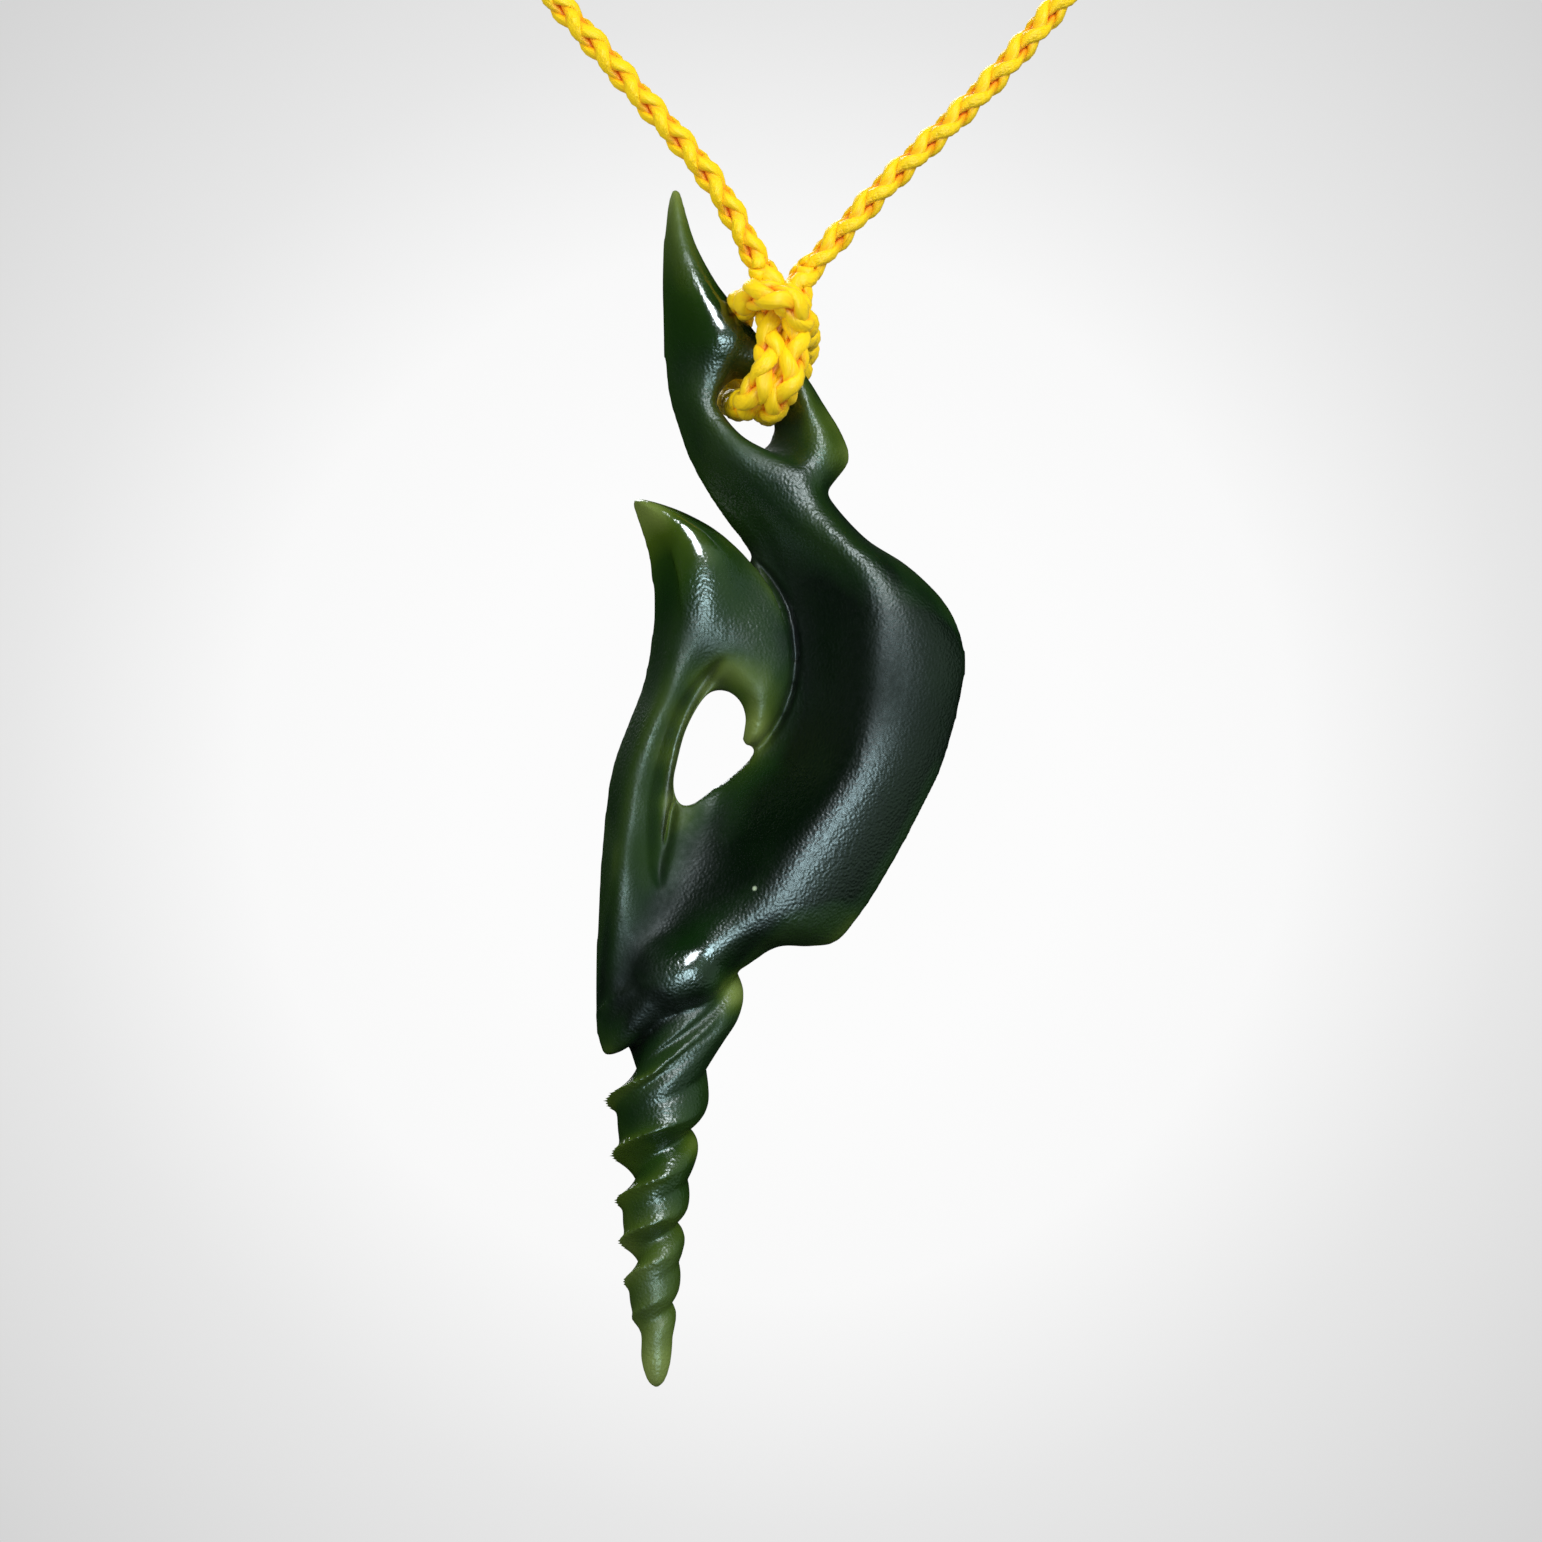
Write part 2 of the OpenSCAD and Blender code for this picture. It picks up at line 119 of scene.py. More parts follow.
def evened(points: np.ndarray, step: float) -> np.ndarray:
    """Spaces the points of a line evenly.

    Args:
        points: The line's points in order.
        step: Wanted space between them.

    Returns:
        Points on the same line, an even space of about the step apart.
    """
    run = run_of(points)
    count = max(2, round(run[-1] / step) + 1)
    at = np.linspace(0.0, run[-1], count)
    return np.stack([np.interp(at, run, points[:, k]) for k in range(3)], axis=1)


def loft(work: bmesh.types.BMesh, rings: np.ndarray) -> list[list[bmesh.types.BMVert]]:
    """Wraps a grid round a row of sections, welds its seam and closes both ends.

    Args:
        work: Mesh that the skin is added to.
        rings: Sections in order, each with the same number of points.

    Returns:
        The rings of vertices in order.
    """
    count, sides = len(rings), len(rings[0])
    grid = bmesh.ops.create_grid(work, x_segments=sides, y_segments=count - 1, size=1.0)["verts"]
    rows = [grid[i * (sides + 1) : (i + 1) * (sides + 1)] for i in range(count)]
    for row, ring in zip(rows, rings):
        for vert, place in zip(row, [*ring, ring[0]]):
            vert.co = place
    bmesh.ops.weld_verts(work, targetmap={row[-1]: row[0] for row in rows})
    made = [row[:-1] for row in rows]
    for row in (made[0], made[-1]):
        bmesh.ops.contextual_create(work, geom=row)
    return made


def set_out(
    work: bmesh.types.BMesh, name: str, material: bpy.types.Material | None = None
) -> bpy.types.Object:
    """Puts a mesh into the scene at the origin.

    Args:
        work: The mesh, which is freed.
        name: The object's name.
        material: Its finish, with none for a blank that only modifiers work on.

    Returns:
        The object.
    """
    mesh = bpy.data.meshes.new(name)
    work.to_mesh(mesh)
    work.free()
    if material is not None:
        mesh.shade_smooth()
        mesh.materials.append(material)
    placed = bpy.data.objects.new(name, mesh)
    bpy.context.scene.collection.objects.link(placed)
    return placed


def finish_piece(
    work: bmesh.types.BMesh, name: str, material: bpy.types.Material, node: str
) -> bpy.types.Object:
    """Turns a mesh in millimetres into a piece of the pendant.

    Args:
        work: The finished mesh, which is freed.
        name: The piece's name.
        material: Its finish.
        node: CAD node that the piece stands for.

    Returns:
        The piece, riding on the pendant's one body.
    """
    bmesh.ops.scale(work, vec=(MM, MM, MM), verts=work.verts)
    piece = set_out(work, name, material)
    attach(piece, "root")
    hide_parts(node)
    LOG.info("%s: %d faces", name, len(piece.data.polygons))
    return piece


# Shader wiring


class Wire:
    """A shader socket that Python expressions are written on."""

    def __init__(self, board: "Board", socket: bpy.types.NodeSocket) -> None:
        """Keeps the socket and the board that it is on."""
        self.board = board
        self.socket = socket

    def maths(self, operation: str, first: "Wire | float", second: "Wire | float") -> "Wire":
        """Adds one Math node on two values and returns its result."""
        node = self.board.node("ShaderNodeMath", {"operation": operation}, {0: first, 1: second})
        return Wire(self.board, node.outputs[0])

    def __add__(self, other: "Wire | float") -> "Wire":
        """This value plus another."""
        return self.maths("ADD", self, other)

    def __sub__(self, other: "Wire | float") -> "Wire":
        """This value less another."""
        return self.maths("SUBTRACT", self, other)

    def __rsub__(self, other: float) -> "Wire":
        """A number less this value."""
        return self.maths("SUBTRACT", other, self)

    def __mul__(self, other: "Wire | float") -> "Wire":
        """This value times another."""
        return self.maths("MULTIPLY", self, other)

    __radd__ = __add__
    __rmul__ = __mul__


class Board:
    """The nodes of one material."""

    def __init__(self, name: str) -> None:
        """Makes an empty material with its output node.

        Args:
            name: The material's name.
        """
        self.material = bpy.data.materials.new(name)
        self.material.use_nodes = True
        self.tree = self.material.node_tree
        self.tree.nodes.clear()
        self.out = self.tree.nodes.new("ShaderNodeOutputMaterial")

    def node(
        self,
        kind: str,
        settings: dict[str, object] | None = None,
        sockets: dict[int | str, object] | None = None,
    ) -> bpy.types.Node:
        """Adds a node.

        Args:
            kind: The node's type.
            settings: Its settings, with the stops of a ramp as (place, colour) pairs.
            sockets: A value, a Wire or an output socket for each named or numbered input.

        Returns:
            The node.
        """
        node = self.tree.nodes.new(kind)
        for name, value in (settings or {}).items():
            if name == "stops":
                self.set_stops(node.color_ramp, value)
            else:
                setattr(node, name, value)
        for key, value in (sockets or {}).items():
            socket = node.inputs[key]
            source = value.socket if isinstance(value, Wire) else value
            if isinstance(source, bpy.types.NodeSocket):
                self.tree.links.new(source, socket)
            else:
                socket.default_value = source
        return node

    @staticmethod
    def set_stops(ramp: bpy.types.ColorRamp, stops: list[tuple[float, Colour]]) -> None:
        """Gives a ramp its stops.

        Args:
            ramp: The ramp.
            stops: Pairs of a place and its colour, in order of place.
        """
        while len(ramp.elements) < len(stops):
            ramp.elements.new(1.0)
        for element, (place, colour) in zip(ramp.elements, stops):
            element.position = place
            element.color = (*colour, 1.0)

    def wire(self, node: bpy.types.Node, output: int | str = 0) -> Wire:
        """An output of a node, ready for expressions."""
        return Wire(self, node.outputs[output])

    def attribute(self, name: str, output: str = "Fac") -> Wire:
        """A value that the mesh carries."""
        return self.wire(self.node("ShaderNodeAttribute", {"attribute_name": name}), output)

    def noise(self, vector: Wire, scale: float, detail: float = 2.0, roughness: float = 0.5) -> Wire:
        """Fine random variation over a vector."""
        sockets = {"Vector": vector, "Scale": scale, "Detail": detail, "Roughness": roughness}
        return self.wire(self.node("ShaderNodeTexNoise", None, sockets), "Fac")

    def rise(self, value: Wire, low: float, high: float) -> Wire:
        """0 where a value is low, rising to 1 where it is high."""
        sockets = {"Value": value, "From Min": low, "From Max": high}
        return self.wire(self.node("ShaderNodeMapRange", None, sockets), "Result")

    def ramp(self, factor: Wire, stops: list[tuple[float, Colour]]) -> Wire:
        """Colour for a factor."""
        return self.wire(self.node("ShaderNodeValToRGB", {"stops": stops}, {"Fac": factor}), "Color")

    def blend(self, factor: Wire | float, first: Wire | tuple, second: Wire | tuple) -> Wire:
        """Mixes two colours, which are inputs 6 and 7 of the node, and output 2."""
        node = self.node("ShaderNodeMix", {"data_type": "RGBA"}, {"Factor": factor, 6: first, 7: second})
        return self.wire(node, 2)

    def bump(self, height: Wire, strength: float, distance: float) -> Wire:
        """Turns a height into a bent normal."""
        sockets = {"Height": height, "Strength": strength, "Distance": distance}
        return self.wire(self.node("ShaderNodeBump", None, sockets), "Normal")

    def close(self, shader: bpy.types.Node) -> bpy.types.Material:
        """Links the shader to the output and returns the material."""
        self.tree.links.new(shader.outputs[0], self.out.inputs["Surface"])
        return self.material


# Finishes


@dataclass(frozen=True)
class Greenstone:
    """Dark green stone with a painted glow of light through its thin parts, satin all over but for
    polished and matt zones.
    """

    # Greens from thick to thin stone, picked by the painted glow of light through it: deep is thick
    # stone, pale a glowing thin edge
    deep: Colour = (0.0008, 0.0056, 0.0010)
    dark: Colour = (0.0040, 0.0200, 0.0030)
    green: Colour = (0.0130, 0.0390, 0.0040)
    clear: Colour = (0.0450, 0.0850, 0.0060)
    pale: Colour = (0.1450, 0.2050, 0.0400)
    stops: Row = (0.0, 0.12, 0.34, 0.60, 0.95)
    speck: Colour = (0.35, 0.45, 0.30)
    satin: float = 0.38
    polished: float = 0.13
    bare: float = 0.6
    cloud_scale: float = 260.0
    cloud_share: float = 0.10
    mottle_scale: float = 2400.0
    mottle_satin: float = 0.20
    mottle_lost: float = 0.14
    speck_scale: float = 210.0
    speck_edge: tuple[float, float] = (0.045, 0.02)
    patch_scale: float = 150.0
    patch_edge: tuple[float, float] = (0.60, 0.64)
    coat_from: float = 0.6
    coat_gain: float = 2.5
    coat_ior: float = 1.8
    ior: float = 1.62
    grain_scale: float = 5200.0
    grain_height: float = 0.00004
    grain_strength: float = 0.9
    grain_lost: float = 0.75

    def colour(self, board: Board, place: Wire) -> Wire:
        """Green from the painted glow of light through the stone: deep where it is thick, pale where it
        is thin, with faint clouds and a few pale specks.

        Args:
            board: The material's nodes.
            place: Object coordinates.

        Returns:
            The colour.
        """
        cloud = board.noise(place, self.cloud_scale, detail=3.0, roughness=0.55)
        greens = (self.deep, self.dark, self.green, self.clear, self.pale)
        # Painted glow of light through the stone, with random clouds of tone, picks the green
        painted_glow = board.attribute("painted_glow") + (cloud - 0.5) * self.cloud_share
        tone = board.ramp(painted_glow, list(zip(self.stops, greens)))
        cells = board.node("ShaderNodeTexVoronoi", None, {"Vector": place, "Scale": self.speck_scale})
        dot = board.rise(board.wire(cells, "Distance"), *self.speck_edge)
        few = board.rise(board.noise(place, self.patch_scale, detail=0.0), *self.patch_edge)
        return board.blend(dot * few, tone, (*self.speck, 1.0))

    def material(self) -> bpy.types.Material:
        """Builds the finish.

        Returns:
            The material, which reads the mesh's own thinness as a painted glow of light through it, and
            its polish, from -1 matt to 1 polished.
        """
        board = Board("greenstone")
        place = board.wire(board.node("ShaderNodeTexCoord"), "Object")
        polish = board.attribute("polish")
        mottle = board.noise(place, self.mottle_scale, roughness=0.6) - 0.5
        uneven = mottle * (self.mottle_satin - self.mottle_lost * polish)
        waves = board.noise(place, self.grain_scale, detail=0.0)
        grain = waves * (1 - self.grain_lost * polish * polish)
        colour = self.colour(board, place)
        gloss = board.node(
            "ShaderNodeBsdfPrincipled",
            None,
            {
                "Base Color": colour,
                "Roughness": polish * (self.polished - self.satin) + uneven + self.satin,
                "Coat Weight": (polish - self.coat_from) * self.coat_gain,
                "Coat Roughness": self.polished,
                "Coat IOR": self.coat_ior,
                "IOR": self.ior,
                "Normal": board.bump(grain, self.grain_strength, self.grain_height),
            },
        )
        matt = board.node("ShaderNodeBsdfDiffuse", None, {"Color": colour})
        sockets = {0: polish * -self.bare, 1: gloss.outputs[0], 2: matt.outputs[0]}
        return board.close(board.node("ShaderNodeMixShader", None, sockets))


@dataclass(frozen=True)
class WaxedYarn:
    """Bright yellow waxed yarn with painted shade, deeper orange where the plait folds in."""

    # Lit and shaded copies of the yellow and a deeper orange for the folds, picked by depth in the plait:
    # painted shade
    lit: Colour = (0.96, 0.66, 0.003)
    shaded: Colour = (0.96, 0.42, 0.002)
    folded_shade: Colour = (0.90, 0.22, 0.001)
    roughness: float = 0.42
    sheen: float = 0.05
    specular: float = 0.22
    fibre_scale: float = 3.0
    fibre_share: float = 0.25
    ply_share: float = 0.05
    relief: float = 0.6
    relief_height: float = 0.00010

    def material(self) -> bpy.types.Material:
        """Builds the finish.

        Returns:
            The material, which reads the yarn's three plies and its depth in the plait, for painted shade
            in the folds.
        """
        board = Board("waxed_yarn")
        grain = board.attribute("grain", "Vector")
        depth = board.attribute("fold_shade")
        around = board.wire(board.node("ShaderNodeSeparateXYZ", None, {0: grain}), "X")
        plies = around * (4 * around * around - 3)
        fibres = board.noise(grain, self.fibre_scale, roughness=0.55)
        # Painted shade: the deeper in the plait, the more the colour goes from lit to shaded and folded
        # orange
        colour = board.ramp(
            depth + (fibres - 0.5) * self.fibre_share + plies * self.ply_share,
            [(0.32, self.folded_shade), (0.56, self.shaded), (0.82, self.lit)],
        )
        shader = board.node(
            "ShaderNodeBsdfPrincipled",
            None,
            {
                "Base Color": colour,
                "Roughness": self.roughness,
                "Sheen Weight": self.sheen,
                "Specular IOR Level": self.specular,
                "Normal": board.bump(plies * 0.5 + fibres, self.relief, self.relief_height),
            },
        )
        return board.close(shader)


# The carving


@dataclass(frozen=True)
class Slab:
    """Size and place of the slab that the carving is cut from, in millimetres."""

    height: float = 80.0
    width: float = 24.8
    thick: float = 9.6
    hang: Spot = (-2.3, -112.0, -134.0)
    hang_across: float = 0.488
    hang_up: float = 0.852

    def place(self, across: Value, up: Value, ahead: Value = 0.0) -> np.ndarray:
        """Turns shares of the slab into a point, or many.

        Args:
            across: Shares of the width from its left edge.
            up: Shares of the height from its foot.
            ahead: Shares of the thickness ahead of its middle plane.

        Returns:
            The points.
        """
        return np.stack(
            np.broadcast_arrays(
                self.hang[0] + (np.asarray(across) - self.hang_across) * self.width,
                self.hang[1] - np.asarray(ahead) * self.thick,
                self.hang[2] + (np.asarray(up) - self.hang_up) * self.height,
            ),
            axis=-1,
        )


# The tables of the carving are in thousandths. Columns of a limb: the chord's left and right ends as
# shares of the slab's width and height, the crest's share of the chord, depths of front and back
# and the rims' places ahead of the middle as shares of the thickness, the left flank from -1 hollow
# to 1 round, and the right one from 0 straight to 1 flat beside the crest
X_L, Z_L, X_R, Z_R, CREST, FRONT, BACK, RIM_L, RIM_R, BEND_L, BEND_R = range(11)

SPINE = thousandths(
    (216, 999, 221, 999, 500, 60, 40, 0, 0, 500, 500),
    (196, 984, 241, 989, 500, 150, 80, 0, 0, 400, 500),
    (183, 954, 275, 956, 520, 205, 130, 0, 0, 300, 600),
    (178, 921, 335, 922, 520, 250, 180, 0, 0, 300, 1000),
    (181, 888, 412, 892, 500, 290, 230, 0, 0, 200, 1000),
    (184, 864, 440, 876, 520, 310, 250, 0, 0, 100, 800),
    (190, 846, 390, 851, 660, 270, 250, 0, -80, 200, 600),
    (200, 827, 330, 827, 800, 280, 260, 0, 0, 300, 800),
    (218, 808, 352, 812, 840, 290, 270, 0, 40, 400, 800),
    (243, 783, 402, 795, 840, 300, 280, -20, 60, 500, 800),
    (278, 760, 475, 783, 820, 320, 290, -60, 40, 700, 800),
    (318, 739, 578, 768, 800, 350, 310, -100, 0, 800, 700),
    (361, 721, 650, 738, 770, 380, 330, -120, 0, 700, 500),
    (407, 701, 738, 709, 720, 410, 360, -140, 40, 300, 800),
    (442, 679, 852, 686, 650, 445, 390, -120, 80, -100, 600),
    (461, 649, 958, 652, 570, 470, 420, -120, 100, -300, 500),
    (469, 616, 1000, 615, 520, 480, 440, -120, 120, -400, 400),
    (458, 578, 990, 578, 530, 480, 460, -120, 120, -400, 400),
    (424, 534, 941, 522, 530, 475, 460, -110, 120, -400, 350),
    (366, 514, 873, 478, 530, 465, 460, -100, 120, -300, 350),
    (258, 489, 776, 422, 530, 450, 450, -60, 100, -300, 350),
    (190, 462, 668, 376, 550, 432, 440, -20, 60, -200, 350),
    (124, 431, 588, 369, 570, 415, 420, 0, 40, -100, 350),
    (75, 397, 496, 369, 560, 410, 400, 0, 60, 0, 500),
    (36, 366, 407, 352, 540, 410, 380, 0, 100, 100, 500),
    (13, 336, 297, 331, 520, 370, 340, 0, 140, 300, 600),
    (8, 311, 200, 309, 500, 300, 280, 0, 120, 400, 600),
    (10, 291, 124, 292, 500, 220, 200, 0, 80, 500, 700),
    (24, 277, 75, 282, 500, 120, 120, 0, 20, 500, 700),
)
SHANK = thousandths(
    (100, 743, 108, 744, 500, 220, 20, 20, 20, 300, 500),
    (105, 734, 172, 740, 540, 300, 60, 20, 20, 300, 900),
    (119, 720, 258, 730, 540, 340, 120, 20, 20, 300, 1000),
    (137, 701, 345, 714, 520, 370, 180, 20, 20, 200, 800),
    (152, 674, 425, 688, 460, 405, 220, 0, 40, 100, 300),
    (156, 648, 452, 650, 380, 400, 240, 0, 60, 200, 100),
    (146, 616, 360, 600, 400, 385, 250, 0, 80, 300, 0),
    (127, 587, 312, 570, 400, 380, 250, 0, 100, 300, 0),
    (89, 556, 268, 545, 370, 375, 250, 0, 120, 300, 0),
    (48, 521, 240, 508, 350, 370, 260, 0, 120, 300, 0),
    (27, 481, 205, 481, 380, 370, 280, 0, 200, 300, 0),
    (14, 432, 180, 424, 360, 370, 300, 0, 160, 300, 0),
    (5, 378, 190, 385, 320, 340, 300, 0, 160, 200, 0),
    (1, 332, 180, 345, 300, 260, 260, 0, 40, 200, 0),
    (4, 294, 130, 299, 360, 140, 180, 0, 20, 400, 200),
)
BARB = thousandths(
    (210, 652, 300, 712, 500, 300, 200, 100, 60, 400, 400),
    (225, 630, 385, 702, 400, 370, 220, 0, 60, 400, 100),
    (259, 612, 453, 682, 340, 350, 240, -60, 80, 200, 0),
    (300, 592, 502, 655, 340, 325, 250, -100, 100, 0, 0),
    (338, 570, 526, 626, 360, 300, 250, -100, 90, 0, 0),
    (372, 565, 529, 598, 400, 285, 240, -80, 80, 100, 100),
    (390, 557, 503, 570, 440, 250, 220, -50, 50, 300, 200),
    (392, 547, 462, 547, 480, 220, 180, -20, 20, 400, 500),
    (399, 542, 426, 536, 500, 150, 120, 0, 0, 500, 500),
    (402, 538, 410, 537, 500, 80, 60, 0, 0, 500, 500),
)
BAND = thousandths(
    (300, 850, 370, 892, 500, 200, 180, -20, 0, 600, 500),
    (385, 843, 465, 876, 500, 230, 210, -40, 0, 600, 500),
    (447, 840, 525, 862, 600, 240, 220, -40, 0, 500, 400),
    (480, 829, 572, 846, 780, 260, 220, -80, 0, 200, 200),
    (487, 815, 624, 821, 620, 280, 230, -140, 0, -200, 100),
    (480, 801, 671, 797, 610, 300, 250, -180, 0, -300, 100),
    (458, 790, 689, 776, 620, 310, 270, -160, 0, -200, 200),
    (430, 778, 648, 757, 640, 310, 280, -100, 0, 200, 400),
    (400, 762, 610, 742, 640, 300, 280, -60, 0, 500, 500),
)
HELD_ROW = 2

# Columns of a rounded corner: place across, up and ahead, and the ball's radius in millimetres,
# for the point and then for its root
CORNERS = thousandths(
    (219, 998.5, 0, 440, 219, 982, 0, 660),
    (112, 739, 20, 270, 135, 728, 40, 480),
    (409, 541.5, 30, 270, 424, 552, 60, 480),
    (166, 4, 0, 300, 166, 18, 0, 600),
    (26, 290, 0, 390, 60, 305, 0, 780),
    (645, 383, 0, 480, 620, 400, 0, 780),
    (672, 776, 0, 480, 640, 780, 0, 900),
    (422, 878, 0, 420, 390, 880, 0, 900),
    (210, 347, 150, 2800, 250, 352, 150, 2800),
)

# Columns of the tail: height, axis, radius as a share of the widest, depth of the section as a share
# of its width, turns of the twist and how much of the grooves is cut
TAIL = thousandths(
    (360, 232, 780, 620, -600, 0),
    (336, 214, 990, 680, -420, 400),
    (311, 200, 960, 780, -250, 700),
    (290, 189, 840, 880, -110, 1000),
    (267, 175, 730, 970, 0, 1000),
    (239, 167, 710, 960, 260, 1000),
    (217, 165, 650, 1000, 500, 1000),
    (175, 156, 550, 1000, 1000, 1000),
    (139, 153, 490, 1000, 1500, 1000),
    (106, 153, 430, 1000, 2000, 1000),
    (72, 155, 360, 1000, 2500, 800),
    (43, 164, 250, 1000, 3000, 400),
    (20, 166, 190, 1000, 3300, 0),
    (6, 166, 110, 1000, 3500, 0),
    (1, 166, 20, 1000, 3600, 0),
)


@dataclass
class Limb:
    """A limb of the carving, lofted through chords, with its crest rounded over."""

    slab: Slab
    table: np.ndarray
    rounding: float
    rounding_samples: int = 9
    edge_room: float = 0.9
    steps: int = 8
    front_points: int = 32
    back_points: int = 18
    belly: float = 0.8
    flattening: int = 4

    @staticmethod
    def flank(t: np.ndarray, bend: float) -> np.ndarray:
        """Rise of the left flank from its edge up to a sharp crest, hollow, straight or round."""
        curved = np.sin(np.pi / 2 * t) if bend > 0 else 1 - np.cos(np.pi / 2 * t)
        return t + (curved - t) * abs(bend)

    def shoulder(self, t: np.ndarray, bend: float) -> np.ndarray:
        """Rise of the right flank from its edge, straight at 0 and flatter beside the crest at 1."""
        return 1 - (1 - t) ** (1 + self.flattening * bend)

    def front(self, row: np.ndarray, share: np.ndarray) -> np.ndarray:
        """How far ahead of the middle plane the front stands.

        Args:
            row: The chord's columns.
            share: Shares of the chord from its left end.

        Returns:
            Shares of the thickness.
        """
        crest = row[CREST]
        total = np.zeros(len(share))
        for offset in np.linspace(-1, 1, self.rounding_samples):
            at = share + offset * np.minimum(self.rounding, self.edge_room * np.minimum(share, 1 - share))
            flank = self.flank(np.clip(at / crest, 0, 1), row[BEND_L])
            shoulder = self.shoulder(np.clip((1 - at) / (1 - crest), 0, 1), row[BEND_R])
            left = mixed(row[RIM_L], row[FRONT], flank)
            right = mixed(row[RIM_R], row[FRONT], shoulder)
            total += np.where(at < crest, left, right)
        return total / self.rounding_samples

    def ring(self, row: np.ndarray) -> np.ndarray:
        """Closed section: the front from the left edge to the right, and back round the belly.

        Args:
            row: The chord's columns.

        Returns:
            The section's points.
        """
        ahead_share = np.sin(np.pi / 2 * np.arange(self.front_points) / self.front_points) ** 2
        back_share = 1 - np.arange(self.back_points) / self.back_points
        round_back = np.sin(np.pi * back_share) ** self.belly
        rear = mixed(mixed(row[RIM_L], row[RIM_R], back_share), -row[BACK], round_back)
        share = np.concatenate([ahead_share, back_share])
        ahead = np.concatenate([self.front(row, ahead_share), rear])
        return self.slab.place(mixed(row[X_L], row[X_R], share), mixed(row[Z_L], row[Z_R], share), ahead)

    def rings(self) -> np.ndarray:
        """All the sections in order."""
        return np.array([self.ring(row) for row in smooth_rows(self.table, self.steps)])


@dataclass
class TwistedTail:
    """The screw under the foot, with a deep and a shallow groove."""

    slab: Slab
    widest: float = 9.8
    deep_cut: float = 0.58
    shallow_cut: float = 0.20
    tooth_tip: float = 0.07
    sides: int = 96
    steps: int = 14

    def ring(self, row: np.ndarray) -> np.ndarray:
        """One section, which turns with the twist.

        Args:
            row: Height, axis, radius, depth, turns and cut.

        Returns:
            The section's points.
        """
        up, axis, size, depth, turns, cut = row
        phase = np.arange(self.sides) / self.sides
        angle = 2 * np.pi * (phase - turns + 0.5)
        climb = 1 - np.abs(2 * (phase * 2 % 1) - 1)
        lobe = np.sqrt(1 - (1 - climb) ** 2)
        tooth = 1 - np.sqrt(1 - climb**2)
        ridge = mixed(tooth, lobe, (1 + np.cos(angle)) / 2)
        groove = mixed(self.shallow_cut, self.deep_cut, (1 + np.cos(2 * np.pi * phase)) / 2)
        sharp = self.tooth_tip * climb**4 * (1 - np.cos(angle)) / 2
        radius = self.widest / 2 * size * (1 + cut * (sharp - groove * (1 - ridge)))
        around = [radius * np.cos(angle), radius * np.sin(angle) * depth, np.zeros(self.sides)]
        return self.slab.place(axis, up) + np.stack(around, axis=1)

    def rings(self) -> np.ndarray:
        """All the sections in order."""
        return np.array([self.ring(row) for row in smooth_rows(TAIL, self.steps)])


# Fillers, with a limb's columns: WEB fills the fork under the hook eye, CHEEK the head between shank
# and barb, EYE_WALL is the slanted right wall of the suspension eye, and JOIN backs the seam where
# the barb lies against the crescent
WEB = thousandths(
    (200, 508, 325, 506, 400, 30, 50, 10, -60, 500, 200),
    (195, 488, 322, 487, 380, 60, 100, 30, -40, 400, 200),
    (180, 470, 320, 468, 400, 100, 160, 50, 0, 0, 200),
    (150, 445, 340, 443, 420, 150, 260, 80, 60, 0, 200),
    (125, 416, 360, 416, 440, 190, 340, 100, 160, 0, 100),
    (100, 382, 370, 382, 500, 220, 360, 120, 330, 0, 0),
    (75, 346, 330, 352, 500, 240, 340, 80, 380, 500, 0),
    (60, 318, 250, 322, 500, 180, 260, 60, 260, 500, 0),
)
CHEEK = thousandths(
    (200, 700, 330, 700, 500, 360, 100, 330, 280, 500, 200),
    (220, 679, 370, 679, 420, 400, 120, 370, 260, 500, 100),
    (230, 654, 400, 654, 300, 385, 140, 360, 230, 500, 0),
    (250, 630, 430, 630, 300, 335, 140, 300, 200, 500, 0),
    (290, 608, 440, 608, 360, 270, 120, 200, 190, 500, 100),
    (320, 592, 430, 592, 400, 180, 100, 120, 160, 500, 200),
)
EYE_WALL = thousandths(
    (470, 842, 545, 846, 500, -130, 280, -260, 0, 0, 0),
    (468, 824, 575, 828, 500, -130, 300, -260, 0, 0, 0),
    (468, 808, 600, 808, 500, -130, 310, -260, 0, 0, 0),
    (474, 794, 610, 790, 500, -110, 310, -240, 0, 0, 0),
    (505, 782, 600, 778, 500, -60, 300, -160, 0, 0, 0),
)
JOIN = thousandths(
    (402, 692, 480, 692, 500, -160, 220, -180, -180, 500, 500),
    (388, 679, 520, 679, 500, -150, 280, -160, -160, 500, 500),
    (434, 641, 569, 641, 500, -150, 300, -160, -160, 500, 500),
    (453, 599, 596, 599, 500, -150, 300, -160, -160, 500, 500),
    (440, 562, 569, 562, 500, -150, 280, -160, -160, 500, 500),
    (430, 545, 515, 545, 500, -160, 220, -180, -180, 500, 500),
)

# What the rough stone is joined from, with how far each crest is rounded as a share of the chord
LIMBS: list[tuple[np.ndarray, float]] = [
    (SPINE, 0.05),
    (SHANK, 0.06),
    (BARB, 0.10),
    (BAND, 0.12),
    (WEB, 0.10),
    (CHEEK, 0.10),
    (EYE_WALL, 0.05),
    (JOIN, 0.10),
]

# Outline of the hook eye from the barb's point round and back, as shares of the width and height
HOOK_EYE = thousandths(
    (418, 534), (391, 524), (337, 506), (278, 491), (253, 487.5), (232, 488),
    (216, 497), (213, 509), (221, 522), (243, 548), (278, 570), (313, 582),
    (356, 583), (391, 575), (407, 562), (403, 548), (400, 540),
)

